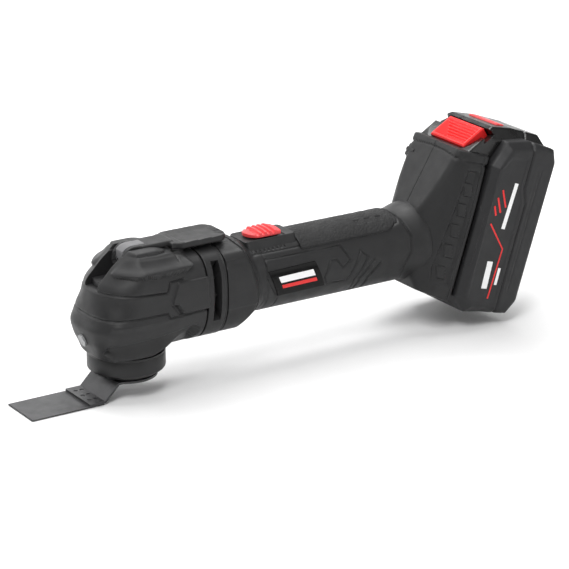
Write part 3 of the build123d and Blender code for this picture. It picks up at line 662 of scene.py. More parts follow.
BRIGHT_STEEL = Finish("steel_finish", (0.42, 0.42, 0.43), 0.3, Texture.BRUSHED, 0.95, 0.3, 0.01, 0.1, 0.4)
DARK_STEEL = Finish("screw_steel_finish", (0.08, 0.08, 0.085), 0.36, Texture.BRUSHED, 0.9, 0.3, 0.012, 0.14, 0.5)
DARK_ALLOY = Finish("dark_alloy_finish", (0.03, 0.03, 0.031), 0.5, metallic=0.4, grain=0.8, relief=0.05)
BOARD = Finish("board_green_finish", (0.02, 0.12, 0.05), 0.4, relief=0.01)
COPPER = Finish("copper_finish", (0.62, 0.27, 0.12), 0.34, Texture.BRUSHED, 0.95, 0.3, 0.01)
FELT = Finish("felt_finish", (0.22, 0.21, 0.19), 0.9, grain=0.25, relief=0.12)
MAGNET = Finish("magnet_finish", (0.05, 0.05, 0.055), 0.55, metallic=0.3, relief=0.03)
CELL_WRAP = Finish("cell_wrap_finish", (0.05, 0.17, 0.3), 0.3, Texture.POLISHED, relief=0.01)

SLOT_FINISHES = {
    "head_plastic": HEAD_PLASTIC, "housing_plastic": HOUSING_PLASTIC, "collar_black": COLLAR_BLACK,
    "soft_grip": SOFT_GRIP, "cast_alloy": DARK_ALLOY, "steel": BRIGHT_STEEL, "blade_steel": BLADE_STEEL,
    "screw_steel": DARK_STEEL, "grey_inlay": GREY_INLAY, "lens_clear": LENS, "red_plastic": RED_LATCH,
    "plate_gloss": PLATE_GLOSS, "pack_plastic": PACK_PLASTIC, "board_green": BOARD, "copper": COPPER,
    "felt": FELT, "magnet": MAGNET, "winding": COPPER, "cell_wrap": CELL_WRAP, "inner_plastic": DARK_INNER,
}


def dress(piece: bpy.types.Object, finish: Finish, body: str, slot: str, *nodes: str) -> bpy.types.Object:
    """Give a piece its finish, hang it on the body it rides on and hide the CAD nodes that it replaces.

    Args:
        piece: The new piece.
        finish: Its finish.
        body: CAD body that it rides on.
        slot: Material slot of the record; not used.
        nodes: CAD nodes that it replaces.

    Returns:
        The same piece.
    """
    piece.data.materials.clear()
    piece.data.materials.append(finish.build())
    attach(piece, body)
    if nodes:
        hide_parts(*nodes)
    LOG.info("%s: %d faces on %s", piece.name, len(piece.data.polygons), body)
    return piece


def dress_frame() -> None:
    """Give every CAD node that still shows the finish of its material slot."""
    for part in frame["record"]["subparts"]:
        node = frame["nodes"][part["node"]]
        finish = SLOT_FINISHES[part["material_slot"]]
        for index in range(len(node.material_slots)):
            node.material_slots[index].material = finish.build()


# ---------------------------------------------------------------- the head


def barrel(p: Array, half: float = 27.6, rise: float = 30.3, depth: float = 29.6, centre: float = 43.7) -> Array:
    """Tube along X: a superellipse, squarish above a centre height (power 3.4) and rounder below it (2.3).

    Args:
        p: Points, mm.
        half: Half width.
        rise: Height above the centre.
        depth: Depth below the centre.
        centre: Height of the centre.

    Returns:
        Field value, negative inside.
    """
    dz = p[..., 2] - centre
    tall = np.where(dz < 0, depth, rise)
    power = np.where(dz < 0, 2.3, 3.4)
    return (((np.abs(p[..., 1]) / half) ** power + (np.abs(dz) / tall) ** power) ** (1 / power) - 1) * half


@dataclass
class Head:
    """Head cover: a squarish nose column that runs back into a round barrel, with cheeks beside the lever's slot,
    side pods, wrapped grooves and a scooped thumb rest."""

    levels: tuple[float, ...] = (14.6, 20, 27, 34, 40, 48, 57, 62, 66, 72, 77, 79.5, 81)
    half_widths: tuple[float, ...] = (25.5, 26.8, 28.3, 29.4, 29.0, 28.2, 27.5, 27.0, 26.0, 22.8, 18.4,
                                      16.2, 14.8)
    noses: tuple[float, ...] = (25.5, 27.6, 30.6, 32.0, 29.6, 27.4, 25.2, 23.6, 20.5, 14.5, 8.0, 4.5, 3.0)
    rear_x: float = 43.4
    slot_half: float = 7.3
    slot_floor: float = 58.0
    slot_rear_x: float = 12.9
    top: float = 80.6
    rear_drop: float = 6.3
    foot: float = 14.6
    foot_rise: float = 1.6
    plate_room_half: float = 8.4
    plate_room_floor: float = 77.1
    plate_room_front: float = -6.0
    pod_z: float = 69.4
    brow_z: float = 38.6
    upper_groove: tuple = ((-40, 59.3), (-24, 58.0), (15.0, 55.4), (17.0, 61.7), (27.0, 62.2))
    lower_crease: tuple = ((-40, 43.6), (-24, 42.6), (14.0, 42.3), (15.4, 39.4), (22.6, 39.0), (43, 39.3))
    rear_panel: tuple = ((22.5, 61.0), (18.2, 51.0), (17.6, 47.0), (21.0, 46.6), (26.2, 39.8),
                         (46, 39.8), (46, 61.0))
    mark: tuple = ((17.0, 46.8), (20.6, 46.6), (25.6, 39.6), (22.6, 39.3))
    pod: tuple = ((-17.0, 69.6), (-6.0, 77.4), (25.0, 76.0), (32.5, 75.0), (35.5, 71.0), (34.6, 68.0),
                  (28.0, 65.8),
                  (-15.0, 66.6))
    scoop: tuple = ((-24, 26.4), (-12, 27.6), (37.0, 30.6), (37.0, 8), (-14, 8), (-24, 22))

    def field(self, p: Array) -> Array:
        """Column (a superellipse in plan at each level) blended into the barrel along X, then cut and relieved.

        Args:
            p: Points, mm.

        Returns:
            Field value, negative inside.
        """
        x, y, z = split(p)
        side = np.abs(y)
        n = 2.9 - 0.75 * ramp(z, 40.0, 54.0) - 0.6 * ramp(z, 56.0, 68.0)
        half = smooth_curve(self.levels, self.half_widths)(z)
        nose = smooth_curve(self.levels, self.noses)(z)
        plan = (((np.maximum(-x, 0) / nose) ** n + (side / half) ** n) ** (1 / n) - 1) * half
        foot = self.foot + self.foot_rise * ramp(x, 3.0, 14.0) * ramp(side, 14.0, 21.0) - z
        column = smooth_max(smooth_max(plan, z - self.top, 2.0), foot, 1.2)
        body = mix(column, barrel(p), ramp(x, 10, 38))
        body = smooth_max(body, x - self.rear_x, 1.2)
        body = smooth_max(body, z - (self.top - self.rear_drop * ramp(x, 26.4, 27.0)), 1.0)
        body = body + self.relief(x, side, z)
        plate_room = np.maximum.reduce([
            side - self.plate_room_half, self.plate_room_floor - z, self.plate_room_front - x,
        ])
        body = smooth_max(body, -plate_room, 0.5)
        slot = np.maximum.reduce([side - self.slot_half, self.slot_floor - z, x - self.slot_rear_x])
        return smooth_max(body, -slot, 0.5)

    def relief(self, x: Array, side: Array, z: Array) -> Array:
        """Depth added to the field: positive cuts in, negative stands out.

        Args:
            x: Place along the tool.
            side: Distance from the middle plane.
            z: Height.

        Returns:
            Depth, mm.
        """
        on_side = ramp(side, 9.0, 13.0)
        depth = 1.1 * trace(stroke(x, z, self.upper_groove), 0.6)
        depth += 0.9 * trace(stroke(x, z, self.lower_crease), 0.6)
        step = outline(x, z, self.rear_panel)
        depth -= 1.2 * (1 - ramp(step, -0.9, 0.0)) * on_side
        depth += 1.5 * (1 - ramp(outline(x, z, self.mark), -0.4, 0.1)) * on_side
        pod = outline(x, z, self.pod)
        swell = 0.5 + 3.0 * trace(z - self.pod_z, 2.6)
        depth -= swell * (1 - ramp(pod, -1.2, 0.0)) * on_side
        depth += 0.9 * trace(stroke(x, z, ((-8.6, 78.4), (25.6, 77.2))), 0.5) * on_side
        depth += 0.5 * trace(stroke(x, z, ((26.6, 72.6), (26.6, 80))), 0.4) * on_side
        scoop = outline(x, z, self.scoop)
        depth += 3.4 * (1 - ramp(scoop, -1.4, 0.1)) * ramp(z, 12.0, 25.0) * on_side
        depth -= 0.9 * trace(z - self.brow_z, 1.9) * ramp(x, -26, -20) * (1 - ramp(x, 12, 22))
        return depth

    def build(self) -> None:
        """Make the head cover and dress it."""
        spine = Spine((13.0, -8.0, 44.0), (13.0, 8.0, 44.0), (0, 0, 1), 380, 40, 108)
        inner = np.linspace(-7.2, 7.2, 34)
        stations = (np.concatenate([[-8.0, -7.55, -7.36], inner, [7.36, 7.55, 8.0]]) + 8.0) / 16.0
        cover = shell("head_cover_skin", self.field, spine, TOOL, 62.0, stations, 38.0)
        dress(cover, HEAD_PLASTIC, "tool_body", "head_plastic", "head_cover")


@dataclass
class Collar:
    """Turned collar under the head, with a chamfered foot and a hollow round the drive."""

    profile: tuple = (
        (0.0, 2.2), (15.2, 2.2), (15.6, 1.8), (15.8, 0.3), (16.2, 0.0), (19.6, 0.0), (20.2, 0.15), (24.1, 2.9),
        (24.55, 3.5), (24.7, 4.2), (24.7, 12.6), (24.5, 13.0), (24.5, 13.3), (24.7, 13.7), (24.7, 14.5), (0.0, 14.5),
    )

    def build(self) -> None:
        """Make the collar and dress it."""
        dress(lathe("collar_skin", self.profile, TOOL), COLLAR_BLACK, "tool_body", "collar_black", "nose_collar")


# ---------------------------------------------------------------- lever


@dataclass
class Lever:
    """Quick-release lever: round nose on the pivot, a flat plate and a dished paddle with a rounded end."""

    pivot: tuple[float, float] = (3.5, 72.5)
    hub_radius: float = 9.0
    hub_half: float = 7.0
    plate_half: float = 8.0
    paddle_half: float = 13.9
    end_x: float = 68.0
    corner: float = 8.0
    top: float = 81.45
    paddle_z: float = 78.45
    paddle_half_thick: float = 2.15
    bar_half: float = 4.4
    inlay_radius: float = 9.15
    inlay_rise: float = 9.1
    inlay_front: float = 6.8
    inlay_half: float = 4.2
    inlay_thick: float = 0.7

    def field(self, p: Array) -> Array:
        """Union of the hub's disc, the plate, the neck and the paddle, less the dish and the bar's room.

        Args:
            p: Points, mm.

        Returns:
            Field value, negative inside.
        """
        x, y, z = split(p)
        side = np.abs(y)
        px, pz = self.pivot
        hub = smooth_max(np.hypot(x - px, z - pz) - self.hub_radius, side - self.hub_half, 0.8)
        plate = slab_box(p, (px + 5.0, -self.plate_half, 77.6), (31.0, self.plate_half, self.top), 1.3)
        neck = slab_box(p, (px - 2.0, -self.hub_half, 74.0), (12.0, self.hub_half, self.top), 1.0)
        plan = self.plan(x, side, 0.0)
        waist = side - (self.paddle_half - 2.6 * (1 - ramp(x, 29, 35)))
        body = smooth_max(smooth_max(plan, waist, 0.5), 27.5 - x, 0.6)
        thick = np.abs(z - self.paddle_z) - self.paddle_half_thick
        paddle = smooth_max(body, thick, 1.5)
        rim = smooth_max(self.plan(x, side, 2.2), 34.0 - x, 2.0)
        dish = 1.2 * (1 - ramp(rim, -2.4, 0.0)) * ramp(z, 79, 80)
        whole = smooth_min(smooth_min(smooth_min(hub, plate, 0.4), neck, 0.8), paddle, 0.8)
        seat = np.maximum.reduce([side - self.bar_half, 8.35 - np.hypot(x - px, z - pz), x - px])
        top_seat = np.maximum.reduce([side - self.bar_half, 80.9 - z, px - x, x - 12.2])
        bar_room = np.maximum.reduce([side - self.bar_half, x - (px - 6.1), z - (pz + 8.0), 60.0 - z])
        low_room = np.maximum.reduce([side - self.bar_half, z - (pz - 0.2), x - (px + 5.0)])
        whole = whole + dish
        for room in (seat, top_seat, bar_room, low_room):
            whole = smooth_max(whole, -room, 0.2)
        return whole

    def plan(self, x: Array, side: Array, inset: float) -> Array:
        """Paddle seen from above: a bar with two rounded corners at its end.

        Args:
            x: Place along the tool.
            side: Distance from the middle plane.
            inset: How far the edge is drawn in, mm.

        Returns:
            The distance, negative inside.
        """
        out_x = np.maximum(x - (self.end_x - self.corner), 0)
        out_y = np.maximum(side - (self.paddle_half - self.corner), 0)
        return np.maximum(np.hypot(out_x, out_y) - self.corner, side - self.paddle_half) + inset

    def strip(self) -> bpy.types.Object:
        """Light inlay: a crowned strip carried up the hub's flat front, over its arc and straight along the top.

        Returns:
            The inlay.
        """
        px, pz = self.pivot
        arc = np.radians(np.linspace(138.0, 90.0, 40))
        path_x = np.concatenate([
            np.full(10, px - self.inlay_front), px + self.inlay_radius * np.cos(arc),
            np.linspace(px + 0.8, 12.0, 12),
        ])
        path_z = np.concatenate([
            np.linspace(pz + 0.6, pz + 5.9, 10), pz + self.inlay_radius * np.sin(arc),
            np.full(12, pz + self.inlay_rise),
        ])
        normal_x = np.concatenate([np.full(10, -1.0), np.cos(arc), np.zeros(12)])
        normal_z = np.concatenate([np.zeros(10), np.sin(arc), np.ones(12)])
        across = np.linspace(-1, 1, 25)
        crown = 0.25 * (1 - np.abs(across) ** 6)
        lift = crown[None, :] * np.ones((len(path_x), 1))
        top = np.stack([
            path_x[:, None] + normal_x[:, None] * lift,
            np.broadcast_to(across * self.inlay_half, lift.shape),
            path_z[:, None] + normal_z[:, None] * lift,
        ], -1)
        inward = -np.stack([normal_x, np.zeros_like(normal_x), normal_z], -1)[:, None, :] * self.inlay_thick
        return sheet_block("lever_inlay", top, inward, TOOL)

    def build(self) -> None:
        """Make the lever and its inlay and dress them."""
        spine = Spine((4.5, 0, 76.5), (58.0, 0, 78.6), (0, 0, 1), 200, 300, 40)
        lever = shell("lever_skin", self.field, spine, TOOL, 26.0, sharp=35.0)
        dress(lever, HEAD_PLASTIC, "lever", "head_plastic", "clamp_lever")
        dress(self.strip(), GREY_INLAY, "lever", "grey_inlay", "lever_strip")


# ---------------------------------------------------------------- motor housing and handle


@dataclass
class VentRing:
    """Ring between the head and the motor housing, with one tall air slot in each side."""

    start_x: float = 43.9
    end_x: float = 58.0
    slot_x: tuple[float, float] = (48.2, 53.6)
    slot_z: tuple[float, float] = (35.0, 62.0)

    def field(self, p: Array) -> Array:
        """Barrel cut square at both ends, with the slots sunk into its sides.

        Args:
            p: Points, mm.

        Returns:
            Field value, negative inside.
        """
        x, y, z = split(p)
        middle = (self.start_x + self.end_x) / 2
        ends = np.abs(x - middle) - (self.end_x - self.start_x) / 2
        body = smooth_max(barrel(p), ends, 0.8)
        body += 0.3 * trace(x - 56.6, 0.4)
        slot = np.maximum.reduce([
            self.slot_x[0] - x, x - self.slot_x[1], self.slot_z[0] - z, z - self.slot_z[1], 14.0 - np.abs(y),
        ])
        return smooth_max(body, -slot, 0.4)

    def build(self) -> None:
        """Make the ring and dress it."""
        spine = Spine((44.6, 0, 45.0), (57.3, 0, 45.0), (0, 0, 1), 420, 80, 24, 2.6)
        ring = shell("vent_ring_skin", self.field, spine, TOOL, 40.0, sharp=35.0)
        dress(ring, HOUSING_PLASTIC, "tool_body", "housing_plastic", "vent_ring")


@dataclass
class Handle:
    """Motor housing that steps down to the round handle, with its seams, panel lines and raised hook outline."""

    start_x: float = 58.3
    end_x: float = 216.0
    chin: tuple[float, float] = (75.0, 15.0)
    seam: tuple = ((71.0, 76), (73.0, 72.3), (76.0, 67), (79.6, 60), (81.6, 52), (81.8, 44), (80.2, 34),
                   (77.6, 26),
                   (74.5, 16))
    strip_edge: tuple = ((84.0, 63.6), (186.0, 63.0), (196.0, 65.0), (200.0, 69.0))
    front_panel: tuple = ((91.0, 60.2), (90.0, 50.0), (93.0, 43.0), (98.6, 34.0), (98.2, 28.0), (94.0, 22.0))
    hook: tuple = ((91.0, 60.2), (147.6, 59.6), (153.6, 50.0), (147.0, 46.2), (143.0, 52.4), (138.2, 52.4),
                   (133.0, 42.4), (135.2, 37.0), (151.0, 36.4), (162.0, 54.6), (167.2, 50.0), (157.0, 35.4),
                   (157.6, 23.4))
    chevrons: tuple = (((171.6, 46.6), (161.4, 36.2), (160.4, 25.6)), ((176.2, 43.6), (167.6, 35.2),
                       (167.0, 25.0)))
    collar_arc: tuple = ((194.5, 72), (200.0, 65), (202.6, 56), (200.6, 47), (196.6, 38), (196.6, 28),
                         (199.6, 20))
    comb_x: float = 96.5
    comb_z: float = 66.8
    comb_half: float = 12.4
    comb_pitch: float = 3.1
    step_length: float = 9.0

    def field(self, p: Array) -> Array:
        """Egg-shaped barrel blended into a cylinder, with a chin cut at 45 degrees and a flared foot.

        Args:
            p: Points, mm.

        Returns:
            Field value, negative inside.
        """
        x, y, z = split(p)
        side = np.abs(y)
        motor = barrel(p, 27.7, 30.4, 29.8)
        flare = 2.6 * ramp(x, 199.0, 213.0)
        grip = np.hypot(y, z - HANDLE_Z) - HANDLE_R - flare
        begin = 79.5 - 5.0 * ramp(z, 30.0, 64.0) - 8.0 * (1 - ramp(z, 18.0, 36.0))
        body = mix(motor, grip, ramp(x, begin, begin + self.step_length))
        chin = (0.85 * (x - self.chin[0]) - (z - self.chin[1])) * 0.76
        body = np.where(x < 91, smooth_max(body, mix(chin, body, ramp(x, 86, 90)), 1.0), body)
        body = smooth_max(body, self.start_x - x, 0.8)
        body = smooth_max(body, x - self.end_x, 1.0)
        return body + self.relief(x, y, z, side)

    def relief(self, x: Array, y: Array, z: Array, side: Array) -> Array:
        """Depth added to the field by seams, lines and pads.

        Args:
            x: Place along the tool.
            y: Place across the tool.
            z: Height.
            side: Distance from the middle plane.

        Returns:
            Depth, mm.
        """
        on_side = ramp(side, 7.0, 10.0)
        depth = 0.7 * trace(stroke(x, z, self.seam), 0.42)
        depth += 0.5 * trace(y, 0.25) * (1 - ramp(z, 44, 46)) * ramp(x, 58, 60)
        band = ramp(np.abs(z - 49.0) - 13.4, -0.4, 0.4)
        depth += 0.5 * band * (1 - ramp(x, 78, 88)) * on_side
        pad = slab_box(np.stack([x, z], -1), (55.0, 66.0), (74.0, 71.2), 1.5)
        depth -= 0.6 * (1 - ramp(pad, -1.0, 0.2)) * on_side
        depth += 0.65 * trace(stroke(x, z, self.strip_edge), 0.4) * on_side
        depth += 0.55 * trace(stroke(x, z, self.front_panel), 0.38) * on_side
        depth += 0.8 * trace(stroke(x, z, self.hook), 0.5) * on_side
        for run in self.chevrons:
            depth += 0.9 * (1 - ramp(stroke(x, z, run), 0.7, 1.2)) * on_side
        depth += trace(stroke(x, z, self.collar_arc), 0.7)
        comb = np.clip(np.cos((x - self.comb_x) * 2 * np.pi / self.comb_pitch) * 3, 0, 1)
        in_comb = (np.abs(z - self.comb_z) < 2.3) * (np.abs(x - self.comb_x) < self.comb_half)
        depth += 0.8 * comb * in_comb * (side > 9.5)
        return depth

    def build(self) -> None:
        """Make the shell and dress it."""
        spine = Spine((59.0, 0, 45.0), (214.0, 0, 46.0), (0, 0, 1), 230, 395, 14, 2.6)
        body = shell("handle_skin", self.field, spine, TOOL, 40.0, sharp=35.0)
        dress(body, HOUSING_PLASTIC, "tool_body", "housing_plastic", "housing_near")


def wrap_on_handle(x: Array, z: Array, lift: Array | float) -> Array:
    """Point on the handle's near side at (x, z), lifted off its radius."""
    reach = np.sqrt(np.maximum((HANDLE_R + lift) ** 2 - (z - HANDLE_Z) ** 2, 0.0))
    return np.stack([x, -reach, z], -1)


@dataclass
class NamePlate:
    """Glossy plate on the handle's near side with a plain light bar over a red one."""

    corners: tuple = ((90.8, 53.4), (126.0, 54.2), (133.0, 36.6), (97.8, 36.2))
    bar_along: tuple[float, float] = (0.14, 0.88)
    bar_lift: float = 1.02
    bar_thick: float = 0.3

    def patch(self, name: str, span: tuple[float, float, float, float], lift: float, thickness: float,
              steps: tuple[int, int] = (60, 40)) -> bpy.types.Object:
        """Part of the plate's four-sided area: corners blended by two shares, wrapped on the handle.

        Args:
            name: Name of the piece.
            span: Shares along (start, end) and down (start, end).
            lift: Height above the handle.
            thickness: Depth of the block.
            steps: Grid steps along and down.

        Returns:
            The piece.
        """
        a, b, c, d = (np.asarray(k, float) for k in self.corners)
        s = np.linspace(span[0], span[1], steps[0])[:, None, None]
        t = np.linspace(span[2], span[3], steps[1])[None, :, None]
        flat = (a * (1 - s) + b * s) * (1 - t) + (d * (1 - s) + c * s) * t
        top = wrap_on_handle(flat[..., 0], flat[..., 1], lift)
        return sheet_block(name, top, np.array([0.0, thickness, 0.0]), TOOL)

    def build(self) -> None:
        """Make the plate and its bars and dress them."""
        plate = self.patch("plate_skin", (0, 1, 0, 1), 0.9, 2.4)
        dress(plate, PLATE_GLOSS, "tool_body", "plate_gloss", "name_plate")
        bars = (("plate_light_bar", (0.25, 0.49), MARK_WHITE), ("plate_red_bar", (0.58, 0.72), MARK_RED))
        for name, down, finish in bars:
            bar = self.patch(name, (*self.bar_along, *down), self.bar_lift, self.bar_thick)
            dress(bar, finish, "tool_body", "plate_gloss")


@dataclass
class GripStrip:
    """Rubbery strip over the top of the handle: a height field on the cylinder, rounded at its rear end."""

    start_x: float = 119.0
    end_x: float = 196.0
    half_arc: float = 20.6
    lift: float = 1.0
    dimple_x: float = 168.0
    dimple_pitch: float = 8.6
    dimple_arc: float = 9.0
    dimple_half: float = 2.4

    def build(self) -> None:
        """Make the strip: the lift fades to below the handle past the strip's outline, less six dimples."""
        x = np.linspace(self.start_x, self.end_x, 300)[:, None]
        arc = np.linspace(-self.half_arc - 1.5, self.half_arc + 1.5, 150)[None, :]
        q = np.stack(np.broadcast_arrays(np.maximum(x - (self.end_x - 12.0), 0), np.abs(arc)), -1)
        reach = np.hypot(q[..., 0], np.maximum(q[..., 1] - (self.half_arc - 11.5), 0)) - 11.5
        height = self.lift - (self.lift + 0.5) * ramp(reach, -1.2, 0.2)
        for index in range(3):
            along = np.abs(x - self.dimple_x - self.dimple_pitch * index) - self.dimple_half
            cell = np.maximum(along, np.abs(np.abs(arc) - self.dimple_arc) - self.dimple_half)
            height = height - 0.6 * (1 - ramp(cell, -0.8, 0.2))
        angle = arc / HANDLE_R
        radius = HANDLE_R + height
        across, up = radius * np.sin(angle), HANDLE_Z + radius * np.cos(angle)
        top = np.stack([np.broadcast_to(x, height.shape), across, up], -1)
        inward = np.stack(np.broadcast_arrays(0.0 * x, -np.sin(angle), -np.cos(angle)), -1) * 1.4
        strip = sheet_block("grip_strip_skin", top, inward, TOOL, 60.0)
        dress(strip, SOFT_GRIP, "tool_body", "soft_grip", "grip_strip")


@dataclass
class Switch:
    """Thumb switch: a raised bridge on the handle and a ribbed slider with a rounded front."""

    plate_middle_x: float = 101.0
    plate_half_length: float = 18.5
    plate_top: float = 71.2
    slider_x: tuple[float, float] = (87.0, 110.0)

    def plate_field(self, p: Array) -> Array:
        """Rounded bridge whose sides sink into the handle.

        Args:
            p: Points, mm.

        Returns:
            Field value, negative inside.
        """
        x, y, z = split(p)
        wide = 10.6 + 0.5 * np.maximum(70.9 - z, 0)
        ends = np.abs(x - self.plate_middle_x) - self.plate_half_length
        body = smooth_max(np.abs(y) - wide, ends, 3.0)
        body = smooth_max(body, z - self.plate_top, 0.7)
        body = smooth_max(body, 60.0 - z, 0.5)
        tray = slab_box(p, (80.9, -9.0, 70.4), (112.0, 9.0, 75.0), 0.6)
        return smooth_max(body, -tray, 0.4)

    def slider_field(self, p: Array) -> Array:
        """Slider with a rounded front, a crowned top and four ribs across it.

        Args:
            p: Points, mm.

        Returns:
            Field value, negative inside.
        """
        x, y, z = split(p)
        front = np.hypot(np.maximum(self.slider_x[0] + 8.4 - x, 0), y) - 8.4
        plan = smooth_max(front, x - self.slider_x[1], 1.2)
        rib = np.clip(np.cos((x - 98.5) * 2 * np.pi / 3.7) * 2, -1, 1) * (np.abs(x - 99.5) < 7.6)
        crown = 74.0 + 0.8 * rib + 0.7 * ramp(x, 88, 97) - 0.012 * y * y
        body = smooth_max(plan, z - crown, 0.8)
        return smooth_max(body, 71.4 - z, 0.3)

    def build(self) -> None:
        """Make the bridge and the slider and dress them."""
        spine = Spine((88.0, 0, 66.0), (114.0, 0, 66.0), (0, 0, 1), 240, 110, 30)
        plate = shell("switch_plate_skin", self.plate_field, spine, TOOL, 26.0, sharp=35.0)
        dress(plate, HOUSING_PLASTIC, "tool_body", "soft_grip", "switch_plate")
        spine = Spine((95.0, 0, 72.4), (106.0, 0, 72.4), (0, 0, 1), 160, 150, 50)
        slider = shell("slider_skin", self.slider_field, spine, TOOL, 16.0, sharp=35.0)
        dress(slider, RED_SWITCH, "power_slide", "red_plastic", "slide_button")


# ---------------------------------------------------------------- the foot and the battery


@dataclass
class Foot:
    """Battery foot at the end of the handle: a deep block with a rounded front, a framed side panel with marks,
    and a step under its top edge. It works in the pack's frame."""

    profile: tuple = ((0.8, -5.0), (0.8, 95.2), (-21.0, 95.2), (-31.6, 51.5), (-34.4, 30.0), (-27.0, 5.0),
                      (-23.5, -1.2))
    depths: tuple[float, ...] = (-37.0, -32.5, -30.0, -25.5, -19.0, -12.0, -4.0, 0.0)
    half_widths: tuple[float, ...] = (6.0, 13.0, 17.0, 22.5, 27.6, 31.0, 32.2, 32.2)
    panel: tuple = ((-12.4, 84.0), (-4.4, 84.0), (-4.0, 6.0), (-17.5, 6.0), (-19.0, 16.0))
    blocks: tuple[float, ...] = (14.0, 29.0, 43.0, 57.0, 71.0)
    rim_a: float = 91.5

    def field(self, p: Array) -> Array:
        """Side profile met by a rounded front, with the panel and the marks as relief.

        Args:
            p: Points in the pack's frame, mm.

        Returns:
            Field value, negative inside.
        """
        w, y, a = split(p)
        side = np.abs(y)
        half = smooth_curve(self.depths, self.half_widths)(w)
        narrow = 1.0 - 0.05 * ramp(a, 55, 98)
        body = smooth_max(outline(w, a, self.profile), (side / narrow - half) * 0.82, 2.4)
        rim = a - (self.rim_a - 0.0035 * y * y)
        body += 0.7 * trace(rim, 0.8)
        body -= 0.35 * ramp(rim, 0.2, 1.0)
        body += 0.5 * trace(y, 0.3) * ramp(-w, 12, 14)
        face = ramp(side, 18, 22)
        panel = outline(w, a, self.panel)
        body += 1.4 * (1 - ramp(panel, -1.6, 0.6)) * face
        for a0 in self.blocks:
            w0 = -8.2 - 0.055 * (84 - a0)
            block = np.maximum(np.abs(w - w0 + 0.25 * (a - a0)) - 3.2, np.abs(a - a0) - 4.4)
            body -= 0.9 * (1 - ramp(block, -0.5, 0.2)) * face
        body += 0.5 * trace(w + 2.9, 0.35) * face
        return body

    def build(self) -> None:
        """Make the foot and dress it."""
        spine = Spine((-13.0, 0, 12.0), (-12.0, 0, 86.0), (-1, 0, 0), 330, 220, 36)
        foot = shell("foot_skin", self.field, spine, PACK, 60.0, sharp=32.0)
        dress(foot, HOUSING_PLASTIC, "tool_body", "housing_plastic", "housing_far")


